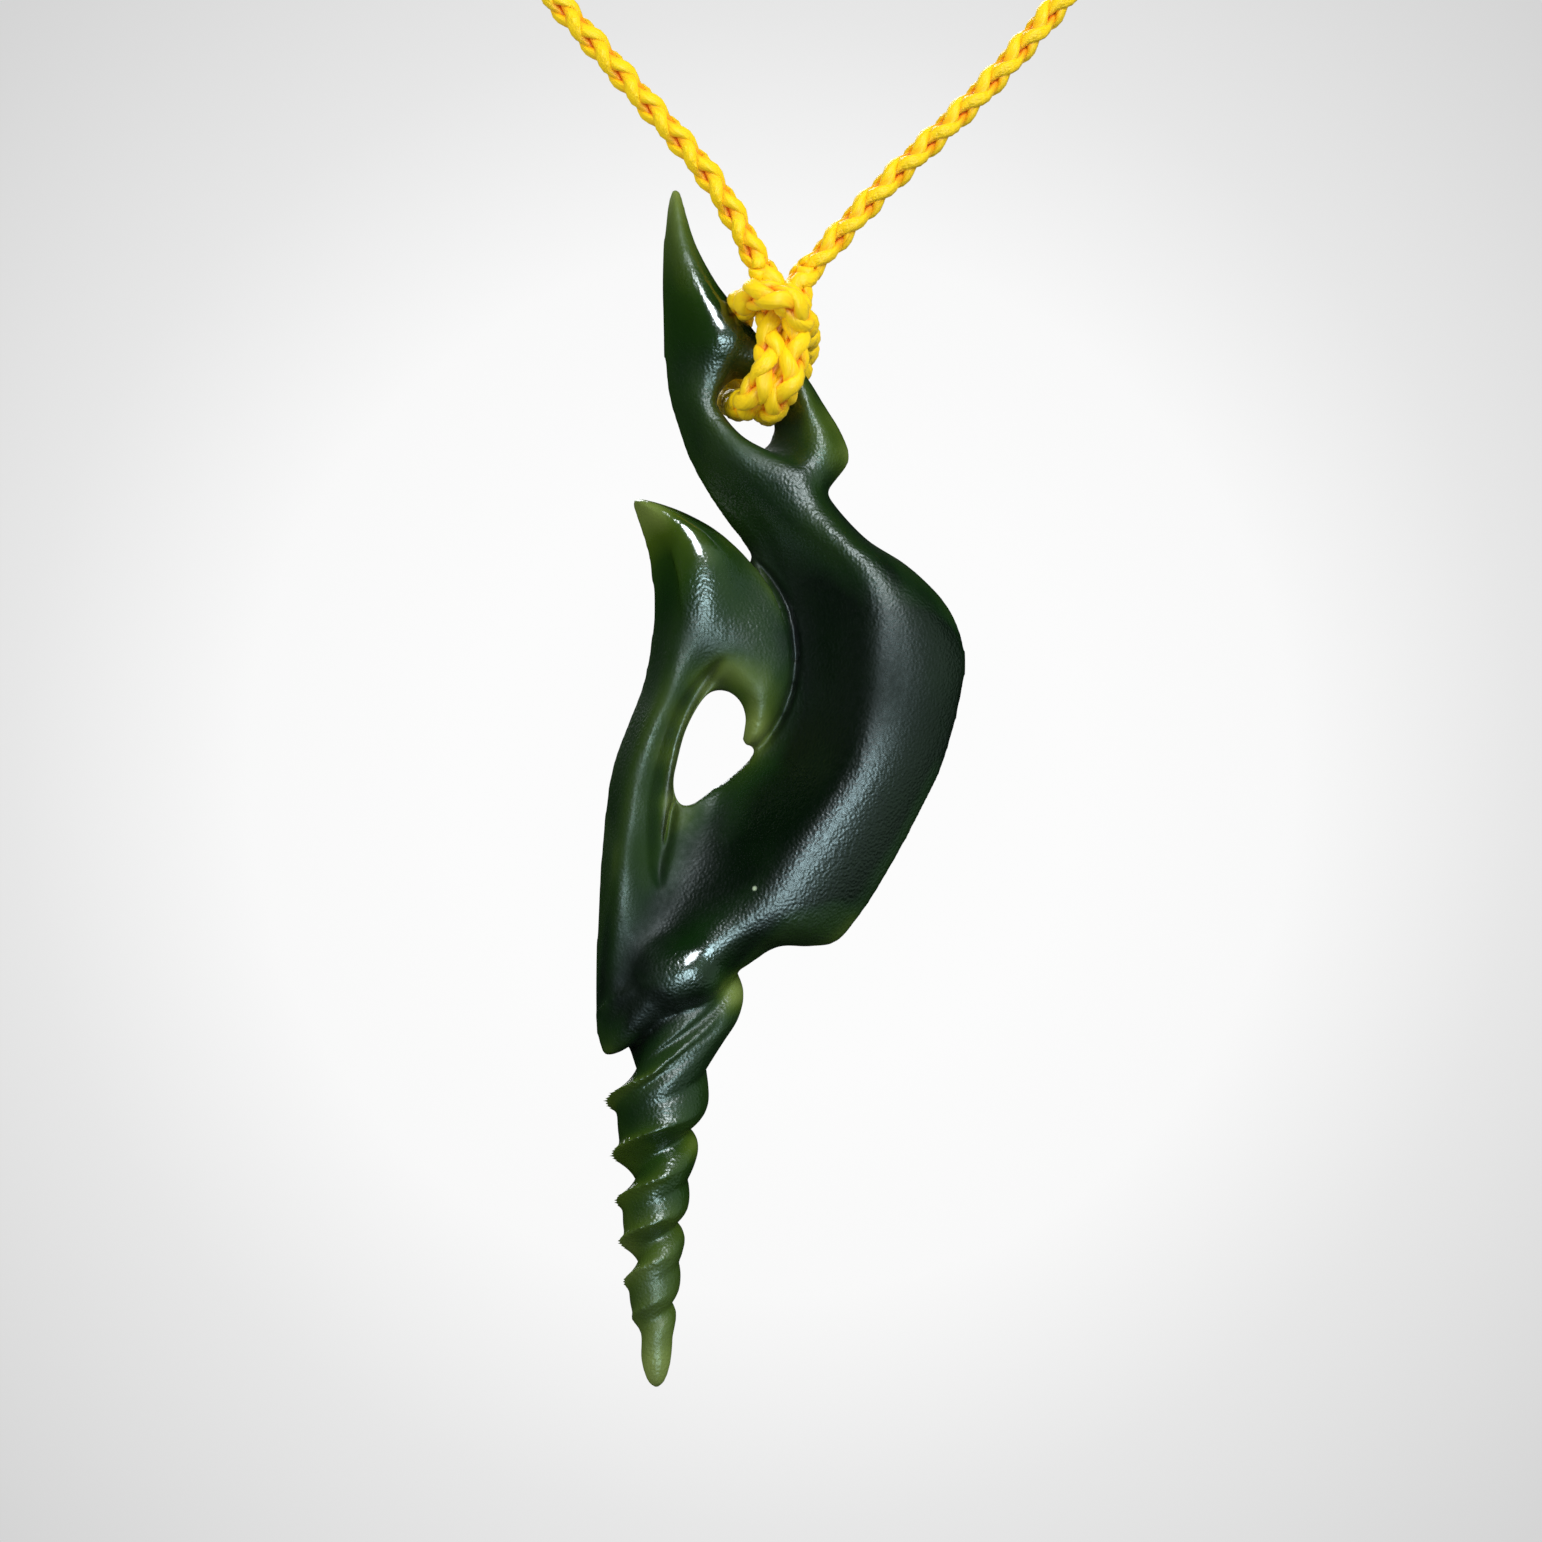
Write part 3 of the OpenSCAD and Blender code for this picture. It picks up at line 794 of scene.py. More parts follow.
# Columns of a stroke: place across and up as shares of the width and height, how far the bite
# reaches to the left and to the right of the way it goes, and its depth, in millimetres
HOOK_CHANNEL = thousandths(
    (181, 417, 100, 200, 0),
    (172, 432, 500, 800, 700),
    (176, 457, 750, 1200, 1100),
    (184, 487, 900, 1300, 1300),
    (196, 512, 850, 1100, 1400),
    (216, 541, 700, 1000, 1400),
    (246, 567, 600, 1000, 1300),
    (286, 589, 400, 900, 1000),
    (322, 602, 300, 700, 600),
    (350, 612, 100, 200, 0),
)
NECK_LINE = thousandths(
    (530, 660, 200, 200, 0),
    (500, 680, 600, 600, 100),
    (485, 692, 700, 700, 160),
    (469, 709, 700, 700, 180),
    (437, 723, 700, 700, 180),
    (399, 737, 700, 700, 160),
    (358, 745, 600, 600, 120),
    (300, 757, 200, 200, 0),
)
SEAM = thousandths(
    (431, 532, 100, 150, 0),
    (469, 544, 300, 400, 600),
    (515, 569, 300, 450, 900),
    (539, 599, 300, 450, 900),
    (539, 625, 300, 450, 900),
    (520, 654, 300, 450, 900),
    (474, 679, 300, 400, 700),
    (430, 694, 100, 150, 0),
)
UPPER_TURN = thousandths(
    (120, 270, 100, 300, 0),
    (190, 286, 180, 1000, 400),
    (270, 305, 180, 1100, 500),
    (330, 322, 160, 900, 350),
    (375, 340, 100, 300, 0),
)
LOWER_TURN = thousandths(
    (110, 248, 100, 300, 0),
    (180, 267, 160, 1000, 450),
    (250, 284, 160, 1100, 550),
    (312, 300, 140, 900, 350),
    (355, 316, 100, 300, 0),
)

# Columns of a zone, as plain numbers: place across and up as shares of the width and height, reach
# in millimetres, and the share by which the relief is softer (SOFT), the face more polished (SHINE,
# matt if negative) or the stone clearer (CLEAR, clouded if negative) there, which CLEAR paints in as
# more or less glow of light through the stone
SOFT: list[Row] = [
    (0.3, 0.665, 3.6, 1), (0.4, 0.64, 2.4, 0.7), (0.5, 0.755, 3, 1),
    (0.6, 0.755, 1.5, 0.8), (0.25, 0.44, 1.8, 0.8), (0.17, 0.398, 1.8, 0.8),
    (0.115, 0.366, 1.6, 0.6), (0.33, 0.845, 2.2, 0.8),
]
SHINE: list[Row] = [
    (0.295, 0.9, 3.8, 1), (0.232, 0.968, 3.2, -0.9), (0.49, 0.785, 1.2, -1),
    (0.24, 0.705, 4, 1), (0.26, 0.361, 2.5, 1), (0.205, 0.525, 2, 0.5),
    (0.258, 0.452, 2.4, -1), (0.29, 0.318, 2.6, -0.3), (0.105, 0.345, 2.4, -1),
    (0.18, 0.41, 1.6, -1), (0.125, 0.386, 1.8, -0.8), (0.29, 0.48, 1.4, -0.8),
    (0.115, 0.45, 2.2, -0.9), (0.15, 0.512, 2.2, -0.9), (0.18, 0.58, 2.2, -0.9),
    (0.24, 0.625, 1.6, -0.6), (0.415, 0.59, 2.4, -0.9), (0.455, 0.69, 1.3, -1),
    (0.503, 0.668, 1.3, -1), (0.537, 0.632, 1.3, -1), (0.537, 0.596, 1.3, -1),
    (0.5, 0.562, 1.2, -1), (0.455, 0.541, 1, -1), (0.275, 0.85, 1.6, -0.5),
    (0.385, 0.792, 1.8, -0.9), (0.79, 0.58, 3.4, -1), (0.805, 0.63, 3.4, -0.9),
    (0.385, 0.607, 1.8, -0.9), (0.164, 0.19, 4.5, 0.5), (0.164, 0.06, 5, -0.4),
    (0.86, 0.62, 4, 0.6), (0.57, 0.61, 4, 0.6), (0.49, 0.5, 3.5, 0.6),
    (0.37, 0.445, 3, 0.5),
]
# Clearer and cloudier stone, shown as more and less painted glow of light through it
CLEAR: list[Row] = [
    (0.127, 0.73, 2.4, 0.32), (0.394, 0.658, 3, 0.14), (0.455, 0.583, 2.4, 0.36),
    (0.4, 0.6, 1.4, 0.2), (0.345, 0.605, 1.2, 0.16), (0.426, 0.545, 1.5, 0.6),
    (0.334, 0.598, 1.5, 0.3), (0.229, 0.474, 1, 0.26), (0.183, 0.445, 1.1, 0.16),
    (0.195, 0.49, 0.8, 0.24), (0.2, 0.53, 1, 0.24), (0.235, 0.56, 1, 0.24),
    (0.28, 0.59, 1, 0.24), (0.221, 0.979, 2, 0.02), (0.21, 0.942, 3, 0.06),
    (0.631, 0.808, 1.6, 0.26), (0.668, 0.779, 1.3, 0.36), (0.38, 0.332, 1.3, 0.72),
    (0.272, 0.203, 1, 0.34), (0.35, 0.255, 1.2, 0.2), (0.164, 0.115, 4, 0.14),
    (0.164, 0.032, 3, 0.24), (0.164, 0.012, 1.5, 0.2), (0.15, 0.705, 1.8, 0.14),
    (0.12, 0.32, 2.5, -0.2), (0.93, 0.7, 3, -0.2), (0.98, 0.62, 4, -0.24),
    (0.96, 0.54, 4, -0.24), (0.86, 0.46, 4, -0.18), (0.72, 0.39, 4, -0.08),
    (0.609, 0.616, 5, -0.14), (0.52, 0.48, 5, -0.1),
]


@dataclass(frozen=True)
class Stroke:
    """A pass of a carving tool along a line on the front, crisp on its left and eased on its right."""

    slab: Slab
    rows: np.ndarray
    steps: int = 5
    least_reach: float = 0.01

    def bite(self, across: np.ndarray, height: np.ndarray) -> np.ndarray:
        """How deep the tool goes at each point, in millimetres.

        Args:
            across: The points' places along X.
            height: The points' places along Z.

        Returns:
            The depths.
        """
        line = smooth_rows(self.rows, self.steps)
        path = self.slab.place(line[:, 0], line[:, 1])[:, [0, 2]]
        best = np.full(len(across), np.inf)
        signed = np.zeros(len(across))
        tool = np.zeros((len(across), 3))
        for a, b, here, after in zip(path[:-1], path[1:], line[:-1, 2:], line[1:, 2:]):
            way = b - a
            from_x, from_z = across - a[0], height - a[1]
            share = np.clip((from_x * way[0] + from_z * way[1]) / way.dot(way), 0, 1)
            gap = np.hypot(from_x - share * way[0], from_z - share * way[1])
            near = gap < best
            best = np.where(near, gap, best)
            signed = np.where(near, way[0] * from_z - way[1] * from_x, signed)
            tool = np.where(near[:, None], here + share[:, None] * (after - here), tool)
        reach = np.maximum(np.where(signed > 0, tool[:, 0], tool[:, 1]), self.least_reach)
        inside = np.clip(1 - best / reach, 0, 1)
        eased = np.where(signed > 0, inside * (2 - inside), inside**2 * (3 - 2 * inside))
        return np.maximum(tool[:, 2], 0) * eased


class Neighbours:
    """Which vertices of a mesh share an edge."""

    def __init__(self, work: bmesh.types.BMesh) -> None:
        """Lists the edges by their ends.

        Args:
            work: The mesh.
        """
        work.verts.index_update()
        self.pairs = np.array([[e.verts[0].index, e.verts[1].index] for e in work.edges])
        self.count = np.bincount(self.pairs.ravel(), minlength=len(work.verts))

    def mean(self, values: np.ndarray) -> np.ndarray:
        """Averages values over the mesh.

        Args:
            values: One for each vertex.

        Returns:
            The mean of each vertex's neighbours.
        """
        first, second = self.pairs.T
        total = np.bincount(first, values[second], len(values))
        total += np.bincount(second, values[first], len(values))
        return total / np.maximum(self.count, 1)


@dataclass
class HookCarving:
    """The green stone: fin, eye, crescent, hook and twisted tail, cut from one slab."""

    slab: Slab = field(default_factory=Slab)
    finish: Greenstone = field(default_factory=Greenstone)
    strokes: tuple[np.ndarray, ...] = (HOOK_CHANNEL, NECK_LINE, SEAM, UPPER_TURN, LOWER_TURN)
    eye_steps: int = 6
    rough_cell: float = 0.28
    fine_cell: float = 0.195
    easing: int = 25
    rough_even: int = 4
    fine_even: int = 3
    soft_passes: int = 150
    edge_fade: float = 1.6
    # How light through the stone is measured, stronger from the right and above, for the painted glow in
    # its colour
    rays: int = 18
    ray_lift: float = 0.04
    ray_reach: float = 20.0
    grazing: float = -0.2
    from_right: float = 0.6
    from_above: float = 0.2
    clearness: float = 2.4
    light_passes: int = 24
    glow_from: float = 0.05
    glow_span: float = 0.75

    def rough_out(self) -> bmesh.types.BMesh:
        """Lays out the limbs, the fillers and the corners.

        Returns:
            One mesh of overlapping closed forms.
        """
        work = bmesh.new()
        for table, rounding in LIMBS:
            loft(work, Limb(self.slab, table, rounding).rings())
        for corner in CORNERS:
            self.round_corner(work, corner)
        bmesh.ops.recalc_face_normals(work, faces=work.faces)
        return work

    def round_corner(self, work: bmesh.types.BMesh, corner: np.ndarray) -> None:
        """Adds a taper between two balls.

        Args:
            work: Mesh that it is added to.
            corner: The corner's columns.
        """
        point, root = Vector(self.slab.place(*corner[0:3])), Vector(self.slab.place(*corner[4:7]))
        sharp, broad = corner[3], corner[7]
        for place, radius in ((point, sharp), (root, broad)):
            spot = Matrix.Translation(place)
            bmesh.ops.create_icosphere(work, subdivisions=3, radius=radius, matrix=spot)
        way = root - point
        turn = way.to_track_quat("Z", "Y").to_matrix().to_4x4()
        turned = Matrix.Translation((point + root) / 2) @ turn
        sizes = {"radius1": sharp, "radius2": broad, "depth": way.length}
        bmesh.ops.create_cone(work, cap_ends=True, segments=24, matrix=turned, **sizes)

    def eye_tool(self) -> bpy.types.Object:
        """Makes the solid that opens the hook eye right through the slab.

        Returns:
            The solid, to be cut away from the rough stone.
        """
        work = bmesh.new()
        outline = smooth_rows([*HOOK_EYE, HOOK_EYE[0]], self.eye_steps)[:-1]
        ring = [work.verts.new(self.slab.place(a, b, 1.0)) for a, b in outline]
        face = bmesh.ops.contextual_create(work, geom=ring)["faces"]
        pushed = bmesh.ops.extrude_face_region(work, geom=face)["geom"]
        bmesh.ops.translate(work, vec=(0, 2 * self.slab.thick, 0), verts=verts_in(pushed))
        bmesh.ops.recalc_face_normals(work, faces=work.faces)
        return set_out(work, "eye_tool")

    @staticmethod
    def fuse(
        work: bmesh.types.BMesh, cell: float, relief: int, even: int, tool: bpy.types.Object | None = None
    ) -> bmesh.types.BMesh:
        """Makes one even skin over overlapping forms, eases it and opens the eye.

        Args:
            work: The forms, which are freed.
            cell: Size of the skin's cells.
            relief: Passes that ease the relief and leave the outline.
            even: Passes that ease all of it.
            tool: Solid that is cut away afterwards.

        Returns:
            The skin.
        """
        block = set_out(work, "block")
        skin = block.modifiers.new("skin", "REMESH")
        skin.mode = "VOXEL"
        skin.voxel_size = cell
        flat = block.modifiers.new("relief", "SMOOTH")
        flat.use_x = flat.use_z = False
        flat.iterations = relief
        block.modifiers.new("even", "SMOOTH").iterations = even
        if tool is not None:
            eye = block.modifiers.new("eye", "BOOLEAN")
            eye.operation = "DIFFERENCE"
            eye.object = tool
        made = bmesh.new()
        made.from_object(block, bpy.context.evaluated_depsgraph_get())
        bpy.data.meshes.remove(block.data)
        return made

    def soften(self, work: bmesh.types.BMesh) -> None:
        """Eases the relief in the SOFT zones and leaves the outline.

        Args:
            work: The skin.
        """
        mesh = Neighbours(work)
        share = np.clip(self.zones(work, SOFT), 0, 1)
        ahead = places_of(work)[:, 1]
        for _ in range(self.soft_passes):
            ahead += share * (mesh.mean(ahead) - ahead)
        for vert, y in zip(work.verts, ahead):
            vert.co.y = y

    def carve(self, work: bmesh.types.BMesh) -> None:
        """Works the strokes into the skin where it faces the front.

        Args:
            work: The skin.
        """
        work.normal_update()
        place = places_of(work)
        normal = np.array([v.normal for v in work.verts])
        facing = np.clip(normal[:, 1] * -self.edge_fade, 0, 1)
        for rows in self.strokes:
            place[:, 1] += facing * Stroke(self.slab, rows).bite(place[:, 0], place[:, 2])
        for vert, spot in zip(work.verts, place):
            vert.co = spot

    def light_through(self, work: bmesh.types.BMesh) -> np.ndarray:
        """Measures how much light, brightest from the right, comes through the stone to each vertex, for
        the glow that is painted into its colour.

        Args:
            work: The finished skin.

        Returns:
            Near 0 where the stone is thick, more at a thin edge.
        """
        work.normal_update()
        work.verts.index_update()
        tree = BVHTree.FromBMesh(work)
        places = [v.co.copy() for v in work.verts]
        normals = np.array([v.normal for v in work.verts])
        total = np.zeros(len(places))
        weight = np.full(len(places), 1e-6)
        for k in range(self.rays):
            rise = 1 - (2 * k + 1) / self.rays
            turn = k * math.pi * (3 - math.sqrt(5))
            level = math.sqrt(1 - rise * rise)
            way = Vector((level * math.cos(turn), level * math.sin(turn), rise))
            brightness = 1 + self.from_right * way.x + self.from_above * way.z
            for i in np.nonzero(normals @ np.array(way) < self.grazing)[0]:
                far = tree.ray_cast(places[i] + way * self.ray_lift, way, self.ray_reach)[3]
                total[i] += brightness * math.exp(-(far or 0.0) / self.clearness)
                weight[i] += brightness
        light = total / weight
        mesh = Neighbours(work)
        for _ in range(self.light_passes):
            light = (light + mesh.mean(light)) / 2
        return light

    def zones(self, work: bmesh.types.BMesh, table: list[Row]) -> np.ndarray:
        """Adds up the shares of a table's zones.

        Args:
            work: The skin.
            table: The zones.

        Returns:
            The sum at each vertex.
        """
        place = places_of(work)
        total = np.zeros(len(place))
        for across, up, reach, share in table:
            middle = self.slab.place(across, up)
            away = np.hypot(place[:, 0] - middle[0], place[:, 2] - middle[2]) / reach
            total += share * np.exp(-away * away)
        return total

    def build(self) -> bpy.types.Object:
        """Builds the carving and dresses it.

        Returns:
            The piece.
        """
        tool = self.eye_tool()
        work = self.fuse(self.rough_out(), self.rough_cell, self.easing, self.rough_even, tool)
        LOG.info("rough stone: %d faces", len(work.faces))
        bpy.data.meshes.remove(tool.data)
        loft(work, TwistedTail(self.slab).rings())
        bmesh.ops.recalc_face_normals(work, faces=work.faces)
        work = self.fuse(work, self.fine_cell, 0, self.fine_even)
        self.soften(work)
        self.carve(work)
        axes = {"use_axis_x": True, "use_axis_y": True, "use_axis_z": True}
        bmesh.ops.smooth_vert(work, verts=work.verts, factor=0.5, **axes)
        light = self.light_through(work)
        LOG.info("light through the stone: %s", np.percentile(light, [5, 25, 50, 75, 95]).round(3))
        # Light through the stone, with the CLEAR zones added, becomes the painted glow in the colour
        painted_glow = np.clip((light - self.glow_from) / self.glow_span + self.zones(work, CLEAR), 0, 1)
        polish = np.clip(self.zones(work, SHINE), -1, 1)
        for name, values in (("painted_glow", painted_glow), ("polish", polish)):
            layer = work.verts.layers.float.new(name)
            for vert, value in zip(work.verts, values):
                vert[layer] = value
        return finish_piece(work, "carved_stone", self.finish.material(), "carving")


# The cord


@dataclass(frozen=True)
class Plait:
    """Four yarns plaited round: two run each way, over one and under the next. Millimetres."""

    middle: float = 0.45
    swing: float = 0.19
    broad: float = 0.47
    flat: float = 0.34
    turn: float = 5.9
    facing: float = 27.0
    ply_turn: float = 3.0
    grain_length: float = 2.0
    start_apart: float = 7.0
    hand_apart: float = 3.0
    sides: int = 10
    step: float = 0.36

    def yarn_line(self, route: "Route", hand: Hand, start: float) -> np.ndarray:
        """Middle line of one yarn.

        Args:
            route: The plait's own line.
            hand: The way round that the yarn runs.
            start: Its place round the plait, in turns.

        Returns:
            The line's points.
        """
        angle = 2 * np.pi * (hand.value * route.run / self.turn + start) + math.radians(self.facing)
        radius = self.middle + hand.value * self.swing * np.cos(2 * (angle - math.radians(self.facing)))
        out = np.cos(angle)[:, None] * route.face + np.sin(angle)[:, None] * route.side
        return route.points + radius[:, None] * out

    def yarn(self, work: bmesh.types.BMesh, route: "Route", hand: Hand, start: float) -> None:
        """Adds one yarn, with its lengthwise grain and its depth in the plait, which sets the painted
        shade in its folds.

        Args:
            work: Mesh that it is added to.
            route: The plait's own line.
            hand: The way round that the yarn runs.
            start: Its place round the plait, in turns.
        """
        line = self.yarn_line(route, hand, start)
        ahead = unit(np.gradient(line, axis=0))
        out = line - route.points
        out = unit(out - (out * ahead).sum(1)[:, None] * ahead)
        wide = np.cross(ahead, out)
        turn = 2 * np.pi * np.arange(self.sides) / self.sides
        rings = (
            line[:, None]
            + self.flat * np.cos(turn)[None, :, None] * out[:, None]
            + self.broad * np.sin(turn)[None, :, None] * wide[:, None]
        )
        grain = work.verts.layers.float_vector.get("grain") or work.verts.layers.float_vector.new("grain")
        fold_shade = work.verts.layers.float.get("fold_shade") or work.verts.layers.float.new("fold_shade")
        outer = self.middle + self.swing + self.flat
        apart = self.start_apart * start + self.hand_apart * hand.value
        for i, row in enumerate(loft(work, rings)):
            twist = 2 * math.pi * hand.value * route.run[i] / self.ply_turn
            for k, vert in enumerate(row):
                angle = float(turn[k]) + twist
                vert[grain] = (math.cos(angle), math.sin(angle), route.run[i] / self.grain_length + apart)
                # Share of the way out from the plait's middle, for the painted shade in the folds
                vert[fold_shade] = float(np.linalg.norm(rings[i, k] - route.points[i])) / outer

    def weave(self, route: "Route") -> bmesh.types.BMesh:
        """Plaits four yarns.

        Args:
            route: The plait's own line.

        Returns:
            The mesh of all four.
        """
        work = bmesh.new()
        for hand in Hand:
            for start in (0.0, 0.5):
                self.yarn(work, route, hand, start)
        bmesh.ops.recalc_face_normals(work, faces=work.faces)
        return work


@dataclass
class Route:
    """An evenly spaced line with a face and a side square to it at each point."""

    points: np.ndarray
    run: np.ndarray
    face: np.ndarray
    side: np.ndarray

    @staticmethod
    def squared(vector: np.ndarray, way: np.ndarray) -> np.ndarray:
        """The part of a vector square to a way, one long."""
        return unit(vector - vector.dot(way) * way)

    @classmethod
    def along(
        cls, points: np.ndarray, step: float, start: float = 0.0, first: Spot = (0, -1, 0)
    ) -> "Route":
        """Carries a face along a line without twist, then turns it evenly so that both ends face one way.

        Args:
            points: The line.
            step: Space between the route's points.
            start: Length of cord before this line.
            first: The way that both ends face.

        Returns:
            The route.
        """
        line = evened(points, step)
        ahead = unit(np.gradient(line, axis=0))
        run = start + run_of(line)
        faces = [cls.squared(np.array(first, float), ahead[0])]
        for way in ahead[1:]:
            faces.append(cls.squared(faces[-1], way))
        face = np.array(faces)
        side = np.cross(ahead, face)
        wanted = cls.squared(np.array(first, float), ahead[-1])
        off = math.atan2(wanted.dot(side[-1]), wanted.dot(face[-1]))
        turn = off * (run - run[0]) / (run[-1] - run[0])
        cos, sin = np.cos(turn)[:, None], np.sin(turn)[:, None]
        return cls(line, run, cos * face + sin * side, cos * side - sin * face)


# Columns of the hitch, from the left strand to the right one, about the middle of the band where
# it is held: sideways in cord diameters; up in half widths of the band and in cord diameters;
# ahead in half depths of the band and in cord diameters
HITCH: list[Row] = [
    (-0.26, 1, 2.4, 0, 0.45),
    (-0.16, 1, 1.8, 0.2, 0.5),
    (-0.16, 1, 0.9, 0.7, 0.5),
    (-0.3, 0, 0, 1, 0.66),
    (-0.86, -1, -0.25, 0.8, 0.55),
    (-1.3, -1, -0.58, 0, 0.2),
    (-1.6, -1, -0.2, -0.8, -0.5),
    (-1.52, 0, 0, -1, -0.75),
    (-1.44, 1, 0.5, -0.8, -0.6),
    (-1.42, 1, 1.1, -0.2, -0.15),
    (-1.16, 1, 1.58, 0.4, 0.7),
    (-0.66, 1, 1.82, 0.6, 1.5),
    (0, 1, 1.72, 0.6, 1.8),
    (0.52, 1, 1.45, 0.6, 1.7),
    (0.88, 1, 1.02, 0.6, 1.2),
    (1.04, 1, 0.52, 0.2, 0.3),
    (1.02, 0.7, 0.2, -0.7, -0.45),
    (0.8, 0, 0, -1, -0.66),
    (0.1, -1, -0.35, -1, -0.66),
    (-0.36, -1, -0.7, 0, 0.1),
    (0.12, -1, -0.4, 0.8, 0.55),
    (0.62, 0, 0, 1, 0.66),
    (0.76, 1, 0.9, 0.7, 0.5),
    (0.78, 1, 1.8, 0.2, 0.5),
    (0.84, 1, 2.4, 0, 0.45),
]

# Points of the loop: its own on each side of the chest, then the same on both sides to the nape
CHEST_RIGHT: list[Row] = [
    (5, -112.6, -121.8),
    (12.3, -112.2, -114.6),
    (20, -111, -105.5),
    (30, -107.5, -93.5),
    (40, -100.5, -80.5),
]
CHEST_LEFT: list[Row] = [
    (-6.5, -112.6, -121.5),
    (-12, -112.2, -115),
    (-19, -111, -107),
    (-29.5, -107.5, -95),
    (-40, -100.5, -81),
]
NECK: list[Row] = [
    (49, -90, -67.5),
    (56, -76, -55),
    (60, -60, -43.5),
    (60.5, -43, -33),
    (56, -27, -23.5),
    (46, -13.5, -14),
    (32, -4.5, -6.5),
    (18, -1, -1.8),
]


@dataclass
class PlaitedCord:
    """The neck cord and its hitch, one plait cut where the hitch begins and ends. Millimetres."""

    slab: Slab = field(default_factory=Slab)
    plait: Plait = field(default_factory=Plait)
    slack_plait: Plait = Plait(
        middle=0.54, swing=0.20, broad=0.59, flat=0.42, turn=5.2, sides=12, step=0.3
    )
    finish: WaxedYarn = field(default_factory=WaxedYarn)
    thick: float = 1.8
    gap: float = 0.15
    knot_length: float = 9.0
    knot_width: float = 5.6
    knot_turns: int = 4
    knot_points: int = 200
    tuck_depth: float = 0.5
    hitch_steps: int = 8
    loop_steps: int = 12

    def hitch_line(self) -> np.ndarray:
        """Middle line of the hitch.

        Returns:
            Points from its left strand, round the band, to its right strand.
        """
        held = BAND[HELD_ROW]
        across = (held[X_R] - held[X_L]) * self.slab.width
        rise = (held[Z_R] - held[Z_L]) * self.slab.height
        half_width = 0.5 * math.hypot(across, rise) + self.gap
        half_depth = held[FRONT] * self.slab.thick + self.gap
        x, y, z = self.slab.hang
        points = [
            (
                x + sideways * self.thick,
                y - half_depths * half_depth - ahead * self.thick,
                z + half_widths * half_width + up * self.thick,
            )
            for sideways, half_widths, up, half_depths, ahead in HITCH
        ]
        return smooth_rows(points, self.hitch_steps)

    def neck_line(self, start: np.ndarray, end: np.ndarray) -> np.ndarray:
        """Middle line of the loop.

        Args:
            start: Where it leaves the hitch on the right.
            end: Where it comes back on the left.

        Returns:
            Points up the right side, over the nape and down the left side.
        """
        straight = self.knot_length / 2 + self.thick
        right = [tuple(start), *CHEST_RIGHT, *NECK, (straight, 0, 0)]
        left = [tuple(end), *CHEST_LEFT, *((-x, y, z) for x, y, z in NECK), (-straight, 0, 0)]
        return smooth_rows([*right, *reversed(left)], self.loop_steps)

    def beyond(self, end: np.ndarray, strand: Row) -> np.ndarray:
        """The point just above a hitch's end where the neck cord takes over."""
        way = np.array(strand, float) - end
        return end + (self.thick / 2 + self.gap) * way / np.linalg.norm(way)

    def build(self) -> list[bpy.types.Object]:
        """Builds the cord and dresses it.

        Returns:
            The hitch, the loop and the closing knot.
        """
        yarn = self.finish.material()
        hitch = self.hitch_line()
        left, right = self.beyond(hitch[0], CHEST_LEFT[0]), self.beyond(hitch[-1], CHEST_RIGHT[0])
        tied = Route.along(np.array([left, *hitch, right]), self.slack_plait.step)
        loop = Route.along(self.neck_line(right, left), self.plait.step, float(tied.run[-1]))
        return [
            finish_piece(self.slack_plait.weave(tied), "hitch", yarn, "hitch_knot"),
            finish_piece(self.plait.weave(loop), "plaited_neck_cord", yarn, "neck_cord"),
            finish_piece(self.plait.weave(self.coil()), "closing_knot", yarn, "nape_knot"),
        ]

    def coil(self) -> Route:
        """Route of the closing knot, which is the cord wound round itself.

        Returns:
            The turns, with both ends tucked under.
        """
        share = np.linspace(0, 1, self.knot_points)
        angle = 2 * np.pi * self.knot_turns * share
        quarters = 4 * self.knot_turns
        tucked = 1 - np.clip(np.minimum(share, 1 - share) * quarters, 0, 1)
        radius = (self.knot_width - self.thick) / 2 - self.tuck_depth * tucked
        reach = (self.knot_length - self.thick) / 2
        line = np.stack([reach * (2 * share - 1), radius * np.cos(angle), radius * np.sin(angle)], axis=1)
        return Route.along(line, self.plait.step, first=(0, 0, 1))


# Studio


@dataclass(frozen=True)
class Softbox:
    """A rectangular light with its middle, width and height, watts, tint, and which faces show it."""

    name: str
    place: Spot
    size: tuple[float, float]
    power: float
    tint: Colour = (1, 1, 1)
    gloss: bool = True
    matt: bool = True

    def hang(self, aim: Spot) -> None:
        """Hangs the light.

        Args:
            aim: The point that it faces.
        """
        data = bpy.data.lights.new(self.name, "AREA")
        data.shape = "RECTANGLE"
        data.size, data.size_y = self.size
        data.energy = self.power
        data.color = self.tint
        lamp = bpy.data.objects.new(self.name, data)
        turn = (Vector(aim) - Vector(self.place)).to_track_quat("-Z", "Y")
        lamp.matrix_world = Matrix.Translation(self.place) @ turn.to_matrix().to_4x4()
        lamp.visible_camera = False
        lamp.visible_glossy = self.gloss
        lamp.visible_diffuse = self.matt
        bpy.context.scene.collection.objects.link(lamp)


